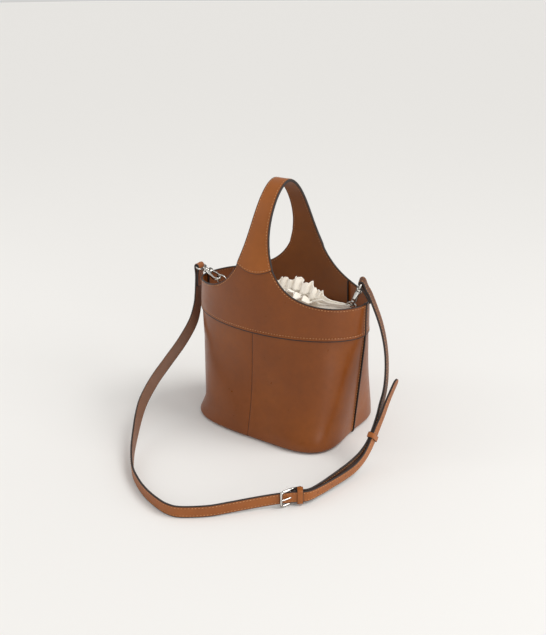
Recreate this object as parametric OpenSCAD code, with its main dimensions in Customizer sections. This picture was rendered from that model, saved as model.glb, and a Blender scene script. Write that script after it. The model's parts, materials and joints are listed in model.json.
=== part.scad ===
// Leather bucket bag with an arched handle, a drawstring collar and a buckled shoulder strap
// clipped to two D-rings. Millimetres. The base stands on z = 0, x runs from the left side
// seam to the right one, and the front faces -y, where the strap lies on the ground.

/* [Body] */
// Half width of the body at its base
base_a = 118; // [108:1:124]
// Half depth of the body at its base
base_b = 91; // [84:0.5:92]
// Half width of the body at the yoke and rim
top_a = 131; // [126:1:136]
// Half depth of the body at the height where the handle starts to lean in
top_b = 71.6; // [68:0.2:75]
// Height of the seam between the lower panels and the yokes
yoke_z = 152; // [148:1:156]
// Height of the rim at the right side seam
rim_side_z = 195.5; // [194:0.5:197]
// Thickness of the outer leather
leather_t = 1.2; // [1:0.1:1.2]
// Radius of the turned bottom edge
edge_r = 6; // [6:0.5:8]

/* [Handle] */
// Height of the middle of the handle arch
arch_z = 344; // [338:1:350]
// Half width of the handle at its top
grip_w = 11.6; // [10.5:0.1:12.5]
// Extra half width where the handle leaves the rim
root_w = 16.1; // [15.6:0.1:16.6]

/* [Strap] */
// Strap width
strap_w = 15; // [14:0.5:15]
// Strap thickness
strap_t = 2.6; // [2.2:0.1:2.6]

/* [Hardware] */
// Wire radius of the D-rings
ring_r = 1.25; // [1:0.05:1.25]
// Height of the line through both D-ring bars
ring_z = 180.5; // [180:0.5:181]
// Distance of the right ring tab from the middle of the bag
tab_x = 110.3; // [110:0.1:110.5]
// Wire radius of the buckle frame
buckle_r = 1.3; // [1.1:0.1:1.3]

/* [Hidden] */

tan_leather = [0.50, 0.27, 0.14];
dark_edge = [0.15, 0.09, 0.06];
inner_leather = [0.36, 0.21, 0.12];
cream = [0.90, 0.87, 0.80];
board_grey = [0.75, 0.72, 0.66];
nickel = [0.78, 0.77, 0.74];

lift_z = 190;            // where the handle starts to lean in
arch_rise = arch_z - lift_z;
arch_pow = 1.8;          // superellipse power of the arch, seen from the side
facing_z = 164;          // bottom of the facings
tongue_z = 262;          // top of the yoke tongues that run up the handle
left_dip = 3.6;          // the rim sits lower where the left clasp crosses it
flare_z = 241;           // the handle widens towards its roots, down to this height
flare_h = 32;
flare_pow = 1.2;
rim_low_z = 193;         // level the rim falls to away from the handle
rim_rise = 47.5;         // extra height beside the handle root
rim_fall = 27;           // distance over which that height dies away
rim_end_z = 193.9;       // level from which the rim is lifted to its side height
rim_end_x = 106;         // where that lift starts
edge_half_t = 1.4;       // half thickness of the side seam edges
seam_gap = 0.15;

// Skins: inner and outer offset from the body surface
panel_skin = [-0.45 - leather_t, -0.45];
yoke_skin = [0, leather_t];
inner_skin = [-1.3, -0.3];
handle_skin = [leather_t + 0.2, 2 * leather_t + 0.2];

// ---------- general helpers ----------
function clamp01(v) = max(0, min(1, v));
function unit(v) = v / norm(v);
function lerp(a, b, u) = a + (b - a) * u;
function rev(list) = [for (i = [len(list) - 1:-1:0]) list[i]];
// part of v square to the unit vector axis, at unit length
function square_to(v, axis) = unit(v - (v * axis) * axis);
function quad(a, b, c, d) = [[a, b, c], [a, c, d]];

// Slab between two grids of cols x rows points, listed one grid after the other
module grid_solid(pts, cols, rows) {
  m = cols * rows;
  last_row = (rows - 1) * cols;
  faces = concat(
    [for (i = [0:rows - 2]) for (j = [0:cols - 2]) each let (a = i * cols + j)
      concat(quad(a, a + 1, a + cols + 1, a + cols),
        quad(m + a, m + a + cols, m + a + cols + 1, m + a + 1))],
    [for (a = [0:cols - 2]) each let (b = last_row + a)
      concat(quad(a, a + m, a + m + 1, a + 1), quad(b, b + 1, b + m + 1, b + m))],
    [for (i = [0:rows - 2]) each let (a = i * cols, b = a + cols - 1)
      concat(quad(a, a + cols, a + cols + m, a + m), quad(b, b + m, b + cols + m, b + cols))]);
  polyhedron(pts, faces, convexity = 8);
}

// Stack of loops, capped at both ends or closed on itself
module loft(loops, closed = false) {
  n = len(loops[0]);
  m = len(loops);
  faces = concat(
    [for (i = [0:m - (closed ? 1 : 2)]) for (j = [0:n - 1])
      each let (i2 = (i + 1) % m, j2 = (j + 1) % n)
        quad(i * n + j, i2 * n + j, i2 * n + j2, i * n + j2)],
    closed ? [] : [[for (j = [0:n - 1]) j], [for (j = [n - 1:-1:0]) (m - 1) * n + j]]);
  polyhedron([for (l = loops) each l], faces, convexity = 8);
}

// Round wire with k sides along a path
module wire(path, r, k) {
  n = len(path);
  loft([for (i = [0:n - 1]) let (
      dir = unit(path[min(i + 1, n - 1)] - path[max(i - 1, 0)]),
      u = unit(cross(dir, abs(dir.z) > 0.8 ? [1, 0, 0] : [0, 0, 1])),
      v = cross(dir, u))
    [for (j = [k - 1:-1:0]) path[i] + r * (cos(j * 360 / k) * u + sin(j * 360 / k) * v)]]);
}

module rod_x(length, r, facets, center = false)
  rotate([0, 90, 0]) cylinder(h = length, r = r, center = center, $fn = facets);
module rod_y(length, r, facets)
  rotate([90, 0, 0]) cylinder(h = length, r = r, center = true, $fn = facets);

// Places children with their axes along the given vectors
module in_frame(origin, x_axis, y_axis, z_axis)
  multmatrix([for (i = [0:3]) i == 3 ? [0, 0, 0, 1] : [x_axis[i], y_axis[i], z_axis[i], origin[i]]])
    children();

module to_back() mirror([0, 1, 0]) children();

// ---------- body surface ----------
// Each level is a superellipse with half width outline_a, half depth outline_b and power expo
function half_a(z) = top_a - (top_a - base_a) * pow(1 - clamp01(z / yoke_z), 1.15);
function half_b(z) = z <= lift_z
  ? top_b + (base_b - top_b) * pow(1 - max(z, 0) / lift_z, 1.4)
  : top_b * pow(max(0, 1 - pow((z - lift_z) / arch_rise, arch_pow)), 1 / arch_pow);
function expo(z) = 2 + 1.9 * pow(1 - clamp01(z / yoke_z), 1.2)
  - 0.06 * clamp01((z - yoke_z) / 46);
function turn_in(z) = z < edge_r
  ? edge_r - sqrt(max(0, edge_r * edge_r - (edge_r - z) * (edge_r - z))) : 0;
function outline_a(z) = half_a(z) - turn_in(z);
function outline_b(z) = half_b(z) - turn_in(z);

// Front half of the body: t is -90 at the left side seam, 0 at the front centre, 90 at the right
function surf(t, z) = let (s = sin(t), n = expo(z))
  [outline_a(z) * s, -outline_b(z) * pow(max(0, 1 - pow(abs(s), n)), 1 / n), z];
seam_t = 88.6;           // beyond this the normal is turned square to the side seam
normal_step = 0.4;
function surf_normal(t, z) = let (
    h = normal_step,
    tt = max(-seam_t, min(seam_t, t)),
    n = unit(cross(surf(tt + h, z) - surf(tt - h, z), surf(tt, z + h) - surf(tt, z - h))))
  abs(t) > seam_t ? unit([sign(t), 0, n.z]) : n;
// Point at distance d off the surface, kept in front of the side seam edges
function off_surf(t, z, d) = let (p = surf(t, z) + d * surf_normal(t, z))
  [p.x, min(p.y, -edge_half_t - seam_gap), p.z];

loop_n = 56;
function super_loop(a, b, n, z) = [for (i = [0:loop_n - 1]) let (
    t = i * 360 / loop_n,
    r = pow(pow(abs(cos(t)) / a, n) + pow(abs(sin(t)) / b, n), -1 / n))
  [r * cos(t), r * sin(t), z]];
function body_loop(z, inset) = super_loop(outline_a(z) - inset, outline_b(z) - inset, expo(z), z);

// ---------- rim ----------
// Half width of the handle at height z, and the rim height that follows the same curve
function grip(z) = grip_w + root_w * exp(-pow(max(0, z - flare_z) / flare_h, flare_pow));
function tongue(x) = x < grip_w + 0.4 ? tongue_z
  : min(tongue_z, flare_z + flare_h * pow(max(0, ln(root_w / (x - grip_w))), 1 / flare_pow));
function rim(x) = let (ax = abs(x), root_x = grip_w + root_w) ax < root_x ? tongue(ax)
  : rim_low_z + rim_rise * exp(-(ax - root_x) / rim_fall)
    + (rim_side_z - (x < 0 ? left_dip : 0) - rim_end_z)
      * pow(clamp01((ax - rim_end_x) / (top_a - rim_end_x)), 2);

// ---------- leather body ----------
// Grid columns as angles t, closer together under the handle
handle_cols = [for (t = [-20:1.6:20.1]) t];
yoke_cols = concat([-89.3, -86, -82], [for (t = [-77:6:-23]) t], handle_cols,
  [for (t = [23:6:77]) t], [82, 86, 89.3]);
panel_cols = concat([-89.3, -87, -84, -80], [for (t = [-75:5:-5]) t], [-0.08]);
facing_cols = concat([for (t = [-34:4:-22]) t], handle_cols, [for (t = [22:4:34]) t]);

// Piece of the front surface from height z_low up to z_top(t)
module patch(cols, rows, z_low, z_top, skin)
  grid_solid([for (d = skin) for (i = [0:rows]) for (t = cols)
    off_surf(t, lerp(z_low, z_top(t), i / rows), d)], len(cols), rows + 1);
module rim_patch(cols, z_low, skin)
  patch(cols, 8, z_low, function(t) rim(top_a * sin(t)), skin);

module front_panel_left()
  color(tan_leather) patch(panel_cols, 12, 0.6, function(t) yoke_z + 7, panel_skin);
module front_panel_right() mirror([1, 0, 0]) front_panel_left();
module back_panel_left() to_back() front_panel_left();
module back_panel_right() to_back() front_panel_right();
module front_yoke() color(tan_leather) rim_patch(yoke_cols, yoke_z, yoke_skin);
module back_yoke() to_back() front_yoke();
module front_facing() color(inner_leather) rim_patch(facing_cols, facing_z, inner_skin);
module back_facing() to_back() front_facing();

// ---------- handle ----------
// The arch in the y-z plane: t is 0 at the front, 90 at the top, 180 at the back
function arch_at(t) = [-top_b * sign(cos(t)) * pow(abs(cos(t)), 2 / arch_pow),
  lift_z + arch_rise * pow(sin(t), 2 / arch_pow)];
function arch_t(z) = asin(pow((z - lift_z) / arch_rise, arch_pow / 2));
function off_arch(t, d) = let (g = unit(arch_at(t + 0.5) - arch_at(t - 0.5)))
  arch_at(t) + d * [-g[1], g[0]];

// Strip over the arch; its ends stand at z_mid in the middle and z_edge at both edges
module arch_strip(skin, z_mid, z_edge) {
  rows = 32;
  half_cols = 6;
  pts = [for (d = skin) for (i = [0:rows]) for (j = [-half_cols:half_cols]) let (
      t0 = arch_t(lerp(z_mid, z_edge, pow(j / half_cols, 2))),
      t = lerp(t0, 180 - t0, i / rows),
      q = off_arch(t, d),
      x = grip(arch_at(t)[1]) * j / half_cols)
    [x, q[0] * sqrt(1 - pow(x / top_a, 2)), q[1]]];
  grid_solid(pts, 2 * half_cols + 1, rows + 1);
}
core_z = tongue_z + 0.3;  // core and lining start just above the tongues
module handle_outer() color(tan_leather) arch_strip(handle_skin, 233, flare_z);
module handle_core() color(dark_edge) arch_strip(yoke_skin, core_z, core_z);
module handle_lining() color(inner_leather) arch_strip(inner_skin, core_z, core_z);

// ---------- side seam edges ----------
module side_edge(top) {
  steps = 16;
  pts = [for (y = [-edge_half_t, edge_half_t]) for (i = [0:steps])
    let (z = lerp(1.2, top, i / steps)) for (reach_x = [-2, 3.4]) [outline_a(z) + reach_x, y, z]];
  color(dark_edge) grid_solid(pts, 2, steps + 1);
}
module side_edge_right() side_edge(rim_side_z);
module side_edge_left() mirror([1, 0, 0]) side_edge(rim_side_z - left_dip);

// ---------- base ----------
base_t = 2;
module base_slab(inset, z0)
  loft([for (z = [z0, z0 + base_t]) super_loop(base_a - inset, base_b - inset, 3.4, z)]);
module base_panel() color(tan_leather) base_slab(8, 0);
module base_board() color(board_grey) base_slab(9, 2.4);

// ---------- lining and drawstring collar ----------
// Up the outside of the cloth, then down the inside to its floor
module lining() {
  floor_z = 8;
  wall_z = [14, 30, 60, 90, 120, 157];
  color(cream) loft(concat([body_loop(6.2, 5.6), body_loop(floor_z, 3.5)],
    [for (z = wall_z) body_loop(z, 3.5)],
    [for (z = rev(wall_z)) body_loop(z, 4.3)],
    [body_loop(floor_z, 4.8)]));
}

neck_a = 60;             // half width and half depth of the gathered neck
neck_b = 13;
module drawstring_collar() {
  color(cream) loft([
    body_loop(159, 3.6),
    super_loop(98, 50, 2, 160),
    super_loop(neck_a, neck_b, 2, 177),
    super_loop(neck_a + 8, neck_b + 12, 2, 200),
    super_loop(neck_a + 7, neck_b + 11, 2, 200),
    super_loop(neck_a - 1, neck_b - 1, 2, 177.3),
    super_loop(97, 49, 2, 158.9),
    body_loop(158, 4.6)], closed = true);
}

// Ring round the neck with two tails side by side at the right
module drawstring_cord() {
  cord_z = 178.6;
  ring_a = neck_a + 2.9;
  ring_b = neck_b + 3.1;
  tail = [for (i = [4:-1:1]) [ring_a + 3.8 * i, -1.9 - 0.5 * i, cord_z - 0.5 * i]];
  color(cream) wire(concat(tail,
    [for (t = [-8:-8:-352]) [ring_a * cos(t), ring_b * sin(t), cord_z]],
    [for (p = rev(tail)) [p.x, -p.y, p.z]]), r = 1.3, k = 8);
}

// ---------- ring tabs and D-rings ----------
left_x = -103.8;         // middle of each D-ring
right_x = tab_x;
left_lean = 14;          // turn of each ring and clasp about the line of the ring bars
right_lean = 4;
ring_w = 8.5;            // half width of a D-ring, and radius of its bow
ring_leg = 5;            // straight part between bar and bow

// Tab round the ring bar, with a foot reaching out to the side seam
module ring_tab(x) {
  tab_w = 10;
  tab_t = 2.6;
  color(tan_leather) translate([x, 0, ring_z]) difference() {
    union() {
      rod_x(tab_w, ring_r + 1.6, 48, center = true);
      translate([-tab_w / 2, -tab_t / 2, -14]) cube([tab_w, tab_t, 13]);
      translate([0, -tab_t / 2, -19]) cube([top_a - x - 2.6, tab_t, 7]);
    }
    rod_x(tab_w + 2, ring_r + 0.07, 48, center = true);
  }
}
module ring_tab_right() ring_tab(right_x);
module ring_tab_left() mirror([1, 0, 0]) ring_tab(-left_x);

// D-ring in the x-z plane, bar centred on the origin
module d_ring() {
  color(nickel) {
    rod_x(2 * ring_w, ring_r, 36, center = true);
    for (s = [-1, 1]) {
      translate([s * ring_w, 0, 0]) sphere(ring_r, $fn = 36);
      translate([s * ring_w, 0, 0]) cylinder(h = ring_leg, r = ring_r, $fn = 36);
    }
    translate([0, 0, ring_leg]) rotate([90, 0, 0])
      rotate_extrude(angle = 180, $fn = 72) translate([ring_w, 0]) circle(ring_r, $fn = 36);
  }
}
module at_ring(x, lean)
  translate([0, 0, ring_z]) rotate([lean, 0, 0]) translate([x, 0, 0]) children();
module d_ring_left() at_ring(left_x, left_lean) d_ring();
module d_ring_right() at_ring(right_x, right_lean) d_ring();

// ---------- clasps ----------
// x runs from the nose to the strap eye, y across the mouth, z through the plate
wire_at = [-2.6, -1.0, 0];  // where the D-ring wire lies inside the hook
left_rise = 180 - 23;    // angle of each clasp's long axis, from +x up towards +z
right_rise = 69;
plate_t = 5;             // thickness of the hook plate
cheek_t = 0.6;           // wall left on each side of the gate slot
slot_t = 3.7;            // width of the gate slot
pivot = [13, 4.3];       // gate pin
stem_x = 17;             // swivel stem starts here
near_x = 24.4;           // eye bar next to the hook
eye_x = 31.8;            // eye bar that carries the strap
eye_bar_r = 1.4;

module at_clasp(x, lean, rise)
  at_ring(x, lean) translate([0, 0, ring_leg]) rotate([0, -rise, 0])
    translate([ring_w, 0, 0] - wire_at) children();
module at_left_clasp() at_clasp(left_x, left_lean, left_rise) children();
module at_right_clasp() at_clasp(right_x, right_lean, right_rise) children();
module at_pivot(z) translate([pivot.x, pivot.y, z]) children();

module hook_plate() {
  difference() {
    union() {
      circle(7.6, $fn = 72);
      polygon([[0, -7.6], [6, -7.2], [15, -4.2], [20, -3.8],
        [20, 3.8], [16, 6.4], [10, 6.6], [0, 7.6]]);
    }
    // throat
    circle(5, $fn = 60);
    translate([0, -2.6]) square([9.5, 5.2]);
    translate([8.6, 0]) circle(2.9, $fn = 40);
    // mouth
    translate([-3.9, 0.4]) square([15.6, 9]);
    translate(pivot) circle(2.6, $fn = 40);
  }
}
module hook() {
  color(nickel) difference() {
    union() {
      translate([0, 0, -plate_t / 2]) linear_extrude(plate_t) hook_plate();
      for (z = [-plate_t / 2, plate_t / 2 - cheek_t])
        at_pivot(z) linear_extrude(cheek_t) difference() {
          circle(2.9, $fn = 40);
          circle(0.84, $fn = 30);
        }
      translate([14.5, 0, 0]) rod_x(8, 3.9, 48);
    }
    // chamber and bore for the swivel
    translate([15.4, 0, 0]) rod_x(3, 2.6, 40);
    translate([stem_x, 0, 0]) rod_x(8, 1.57, 40);
    // gate slot
    at_pivot(-slot_t / 2) cylinder(h = slot_t, r = 2.75, $fn = 40);
    translate([5, 0.5, -slot_t / 2]) cube([8, 6.6, slot_t]);
  }
}
module gate() {
  gate_t = 2.2;
  gate_z = -1.7;
  color(nickel) difference() {
    union() {
      at_pivot(gate_z) cylinder(h = gate_t, r = 2.1, $fn = 40);
      translate([0, 0, gate_z]) linear_extrude(gate_t)
        polygon([[13.2, 6.3], [12.6, 2.4], [-3.3, 4.05], [-3.3, 5.9]]);
      translate([4, 5.6, gate_z]) cylinder(h = gate_t, r = 1.7, $fn = 32);
    }
    at_pivot(-3) cylinder(h = 6, r = 0.86, $fn = 30);
  }
}
module gate_pin() color(nickel) at_pivot(-plate_t / 2) cylinder(h = plate_t, r = 0.78, $fn = 30);
module gate_spring() {
  coil_r = 1.35;
  coil_end = 576;
  color(nickel) at_pivot(0.8) wire([for (a = [0:36:coil_end])
    [coil_r * cos(a), coil_r * sin(a), 0.15 + a / coil_end * 0.62]], r = 0.17, k = 5);
}
// Swivel head and stem with a rectangular eye for the strap
module eye() {
  color(nickel) {
    translate([15.6, 0, 0]) rod_x(1.9, 2.3, 36);
    translate([stem_x, 0, 0]) rod_x(near_x - stem_x, 1.5, 36);
    for (x = [near_x, eye_x]) translate([x, 0, 0]) rod_y(21.2, eye_bar_r, 36);
    for (s = [-1, 1]) translate([near_x, s * 9.4, 0]) rod_x(eye_x - near_x, 1.25, 36);
  }
}

// ---------- how the strap meets the clasps ----------
// v turned by a ring's lean
function leaned(v, a) = [v.x, v.y * cos(a) - v.z * sin(a), v.y * sin(a) + v.z * cos(a)];
// centre the strap loop is built round, close to the eye's far bar
function eye_bar(x, lean, rise) = let (reach = ring_w - wire_at.x + eye_x)
  [0, 0, ring_z] + leaned([x + reach * cos(rise), 1, ring_leg + reach * sin(rise)], lean);
function clasp_axis(lean, rise) = leaned([cos(rise), 0, sin(rise)], lean);
// swivel angle that lays the eye bar along bar_dir
function eye_turn(bar_dir, axis, lean) = let (side = leaned([0, 1, 0], lean))
  atan2(bar_dir * cross(axis, side), bar_dir * side);

left_axis = clasp_axis(left_lean, left_rise);
right_axis = clasp_axis(right_lean, right_rise);
// strap loops: "along" points away from the bar, "across" through the strap
right_along = unit([0.38, 0.30, -0.87]);
left_bar_dir = unit(cross(left_axis, [0, 0, 1]));
right_bar_dir = unit(cross(right_axis, right_along));
left_along = unit(cross(unit([-1, 0, 0.05]), left_bar_dir));
left_across = unit(cross(left_along, -left_bar_dir));
right_across = unit(cross(right_along, right_bar_dir));
left_turn = eye_turn(left_bar_dir, left_axis, left_lean);
right_turn = eye_turn(right_bar_dir, right_axis, right_lean);

module clasp_left_eye() at_left_clasp() rotate([left_turn, 0, 0]) eye();
module clasp_left_hook() at_left_clasp() hook();
module clasp_left_gate() at_left_clasp() gate();
module clasp_left_pin() at_left_clasp() gate_pin();
module clasp_left_spring() at_left_clasp() gate_spring();
module clasp_right_eye() at_right_clasp() rotate([right_turn, 0, 0]) eye();
module clasp_right_hook() at_right_clasp() hook();
module clasp_right_gate() at_right_clasp() gate();
module clasp_right_pin() at_right_clasp() gate_pin();
module clasp_right_spring() at_right_clasp() gate_spring();

// ---------- strap stations ----------
// Every station is [x, y, z, nx, ny, nz]: a point and the direction its outer face looks
function place(s) = [s[0], s[1], s[2]];
function facing_dir(s) = [s[3], s[4], s[5]];
function shifted(s, d) = let (n = unit(facing_dir(s))) concat(place(s) + d * n, n);

// Loop round an eye bar, ending on its outer side; rows are [along u, across v, facing]
function eye_loop(bar, u, v) = let (
    r = eye_bar_r + 0.15 + strap_t / 2,
    d = r * 0.71,
    rows = [[30, -1.6, -v], [22, -1.6, -v], [13, -1.75, -v], [6, -2.4, -v], [1, -r, -v],
      [-d, -d, -0.7 * u - 0.7 * v], [-r, 0, -u], [-d, d, 0.7 * v - 0.7 * u],
      [1, r, v], [6, 2.1, v], [13, 1.35, v], [22, 1.3, v]])
  [for (row = rows) concat(bar + row[0] * u + row[1] * v, row[2])];

// Buckle: middle, strap direction through it, outward direction
buckle_mid = [138, -198.5, 11.4];
buckle_dir = unit([0.70, 0.714, 0]);
buckle_out = unit([buckle_dir.y, -buckle_dir.x, 0]);
buckle_len = 19;         // between the two bars of the frame

// Middle line of the doubled part, from the buckle to the sliding keeper
doubled = [
  [147.5, -189.5, 11.4, 0.72, -0.69, 0], [156, -179.5, 11.4, 0.80, -0.60, -0.10],
  [161, -160, 11.6, 0.95, -0.30, -0.16], [164.5, -140, 12.2, 0.97, -0.18, -0.2],
  [168, -121, 13.2, 0.97, -0.16, -0.2], [171.5, -102, 15.2, 0.98, -0.12, -0.16],
  [174.2, -83.5, 19.4, 0.99, -0.06, -0.12], [175.6, -68.5, 26, 1, -0.03, -0.06],
  [176.2, -58.5, 33.5, 1, 0, 0], [176.2, -50.5, 41.5, 1, 0, 0]];
// Distance of the long strap outside that line and of the short strap inside it
gap_out = [0.55, 1.5, 2.4, 3.4, 4.2, 4.6, 3.6, 2.2, 1.5, 1.5];
gap_in = [3.2, 1.5, 1.6, 2.2, 2.8, 3.0, 2.6, 2.0, 1.5, 1.5];
function doubled_at(gaps) = [for (i = [0:len(doubled) - 1]) shifted(doubled[i], gaps[i])];

// Long strap from the left clasp down and round the front to the buckle
left_run = [
  [-144, -7.8, 160, -1, 0.05, -0.05], [-143.4, -12.2, 142, -0.98, 0.12, -0.12],
  [-140.6, -27.1, 121, -0.9, 0.3, -0.3], [-141.1, -53.1, 98.5, -0.78, 0.45, -0.5],
  [-147, -79.4, 75.5, -0.72, 0.4, -0.6], [-147.9, -109.3, 57, -0.76, 0.2, -0.6],
  [-141.4, -140.3, 41.5, -0.8, 0, -0.5], [-131.5, -163, 30.5, -0.82, -0.2, -0.4],
  [-110.5, -196, 18.5, -0.8, -0.45, -0.25], [-88, -226, 11.6, -0.74, -0.62, -0.12],
  [-62, -253, 8.4, -0.62, -0.76, -0.02], [-35, -271, 7.9, -0.47, -0.88, 0],
  [-12, -282, 7.8, -0.36, -0.93, 0], [10, -289, 7.8, -0.2, -0.98, 0],
  [29, -292, 7.8, 0.06, -1, 0], [46, -288, 7.8, 0.4, -0.92, 0],
  [72, -269, 8, 0.66, -0.75, 0], [90, -249.5, 8.8, 0.74, -0.67, 0],
  [112, -225, 10.2, 0.72, -0.69, 0]];
// Free end of the long strap past the sliding keeper
tip_run = [
  [177.9, -43, 49.5, 1, 0.02, 0], [179.5, -36.5, 60, 0.99, 0.02, -0.05],
  [182.2, -29, 78, 0.98, 0.02, -0.1], [185.6, -22.5, 94, 0.97, 0.02, -0.16],
  [188.6, -15.5, 108, 0.97, 0.02, -0.2]];
// Short strap from the sliding keeper up to the right clasp
right_run = [
  [174.0, -41, 50.5, 1, 0.04, 0], [173.4, -33, 60, 1, 0.06, 0.02],
  [172.6, -25.5, 72, 1, 0.1, 0.02], [172.6, -18, 86, 0.99, 0.15, 0.02],
  [171.2, -11.5, 103, 0.98, 0.2, 0.06], [166.4, -3, 124.5, 0.97, 0.24, 0.12],
  [160.8, 2.6, 143, 0.96, 0.26, 0.2], [154.2, 5.6, 162, 0.94, 0.25, 0.3],
  [146.6, 6.6, 180.5, 0.9, 0.22, 0.4]];

long_stations = concat(
  eye_loop(eye_bar(left_x, left_lean, left_rise), left_along, left_across),
  left_run,
  [for (d = [-buckle_len / 2, 0, 5]) concat(buckle_mid + d * buckle_dir, buckle_out)],
  doubled_at(gap_out),
  tip_run);
short_stations = concat(
  doubled_at(-gap_in),
  right_run,
  rev(eye_loop(eye_bar(right_x, right_lean, right_rise), right_along, right_across)));

// ---------- strap ----------
// Catmull-Rom curve through the stations, with steps points to each span
function catmull(a, b, c, d, u) = 0.5 * (2 * b + (c - a) * u
  + (2 * a - 5 * b + 4 * c - d) * u * u + (3 * b - a - 3 * c + d) * u * u * u);
function spline(p, steps) = let (n = len(p)) concat(
  [for (i = [0:n - 2]) for (s = [0:steps - 1])
    catmull(p[max(i - 1, 0)], p[i], p[i + 1], p[min(i + 2, n - 1)], s / steps)],
  [p[n - 1]]);

// Strap with chamfered edges along the stations; round_end narrows its last sections
module ribbon(stations, round_end = false) {
  q = spline(stations, 4);
  last = len(q) - 1;
  c = 0.35;              // chamfer
  b = strap_t / 2;
  loft([for (i = [0:last]) let (
      dir = unit(place(q[min(i + 1, last)]) - place(q[max(i - 1, 0)])),
      out = square_to(facing_dir(q[i]), dir),
      side = cross(dir, out),
      left = last - i,
      narrow = round_end && left < 6 ? sqrt(1 - pow((6 - left) / 6.6, 2)) : 1,
      a = strap_w / 2 * narrow)
    [for (k = [[a - c, b], [a, b - c], [a, c - b], [a - c, -b],
        [c - a, -b], [-a, c - b], [-a, b - c], [c - a, b]])
      place(q[i]) + k[0] * side + k[1] * out]]);
}

// Buckle frame: x from the bar that carries the short strap to the far bar, y down
frame_tilt = 25;
frame_dir = unit(-cos(frame_tilt) * buckle_dir + sin(frame_tilt) * buckle_out);
frame_bar = buckle_mid - 0.5 * buckle_out - buckle_len / 2 * frame_dir;
module in_buckle()
  in_frame(frame_bar, frame_dir, [0, 0, -1], cross([0, 0, 1], frame_dir)) children();
// x along the strap at the buckle, y up, z outward
module on_strap(origin) in_frame(origin, buckle_dir, [0, 0, 1], buckle_out) children();
module prong_slot(length) translate([-4, -1.5, -4]) cube([length, 3, 8]);

module strap_long() {
  color(tan_leather) difference() {
    ribbon(long_stations, round_end = true);
    on_strap(buckle_mid) prong_slot(13);
  }
}
// Ribbon plus a slotted sleeve round the buckle bar
module strap_short() {
  fold_t = 2.6;
  color(tan_leather) {
    ribbon(short_stations);
    difference() {
      union() {
        in_buckle() difference() {
          rod_y(strap_w, buckle_r + fold_t / 2, 40);
          rod_y(strap_w + 2, buckle_r + 0.08, 40);
        }
        on_strap(frame_bar) translate([buckle_r + 0.5, -strap_w / 2, -fold_t / 2])
          cube([4.2, strap_w, fold_t]);
      }
      in_buckle() prong_slot(8.5);
    }
  }
}
module buckle_frame() {
  color(nickel) in_buckle() {
    for (x = [0, buckle_len]) translate([x, 0, 0]) rod_y(22.2, buckle_r, 36);
    for (s = [-1, 1]) translate([0, s * 9.8, 0]) rod_x(buckle_len, buckle_r - 0.12, 36);
  }
}
module buckle_prong() {
  color(nickel) in_buckle() difference() {
    union() {
      rod_y(2.3, buckle_r + 1.1, 36);
      translate([0.4, 0, 1.6]) rotate([0, 87.5, 0]) cylinder(h = 19.6, r = 0.75, $fn = 24);
    }
    rod_y(5, buckle_r + 0.08, 36);
  }
}

// ---------- keepers ----------
// Rectangular leather band round the doubled strap: dir along the strap, out outward
module keeper(origin, dir, out, opening) {
  length = 7;
  wall = 1.5;
  inner_w = strap_w + 0.9;
  color(tan_leather) in_frame(origin, dir, cross(dir, out), out) difference() {
    cube([length, inner_w + 2 * wall, opening + 2 * wall], center = true);
    cube([length + 2, inner_w, opening], center = true);
  }
}
// Next to the buckle, turned slightly outward
module keeper_fixed() {
  start = place(doubled[0]);
  face = facing_dir(doubled[0]);
  run = unit(place(doubled[1]) - start);
  dir = unit(run + 0.25 * square_to(face, run));
  out = square_to(face, dir);
  keeper(start + 2.4 * run - 1.58 * out, dir, out, opening = 8.9);
}
// Midway between the last two stations of the doubled part
module keeper_sliding() {
  p = place(doubled[8]);
  q = place(doubled[9]);
  dir = unit(q - p);
  keeper((p + q) / 2, dir, square_to(facing_dir(doubled[8]), dir), opening = 6.6);
}

front_panel_left();
front_panel_right();
back_panel_left();
back_panel_right();
front_yoke();
back_yoke();
front_facing();
back_facing();
handle_outer();
handle_core();
handle_lining();
side_edge_left();
side_edge_right();
base_panel();
base_board();
lining();
drawstring_collar();
drawstring_cord();
ring_tab_left();
ring_tab_right();
d_ring_left();
d_ring_right();
clasp_left_eye();
clasp_left_hook();
clasp_left_gate();
clasp_left_pin();
clasp_left_spring();
clasp_right_eye();
clasp_right_hook();
clasp_right_gate();
clasp_right_pin();
clasp_right_spring();
strap_long();
strap_short();
buckle_frame();
buckle_prong();
keeper_fixed();
keeper_sliding();
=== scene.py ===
"""A soft leather bucket bag: four body panels, a front and a back yoke that run up into one
arched handle, a cotton lining with a drawstring collar, and a shoulder strap that hangs from
two D rings by sprung clasps and lies on the ground in front of the bag.

The bag stands on z = 0. Its front faces -Y and its right side is +X. Shapes are worked out
in millimetres and scaled to metres when a mesh is made. Materials use metres.
"""
import bpy
import bmesh
import json
import math
import numpy as np
from mathutils import Vector, Matrix

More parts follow.
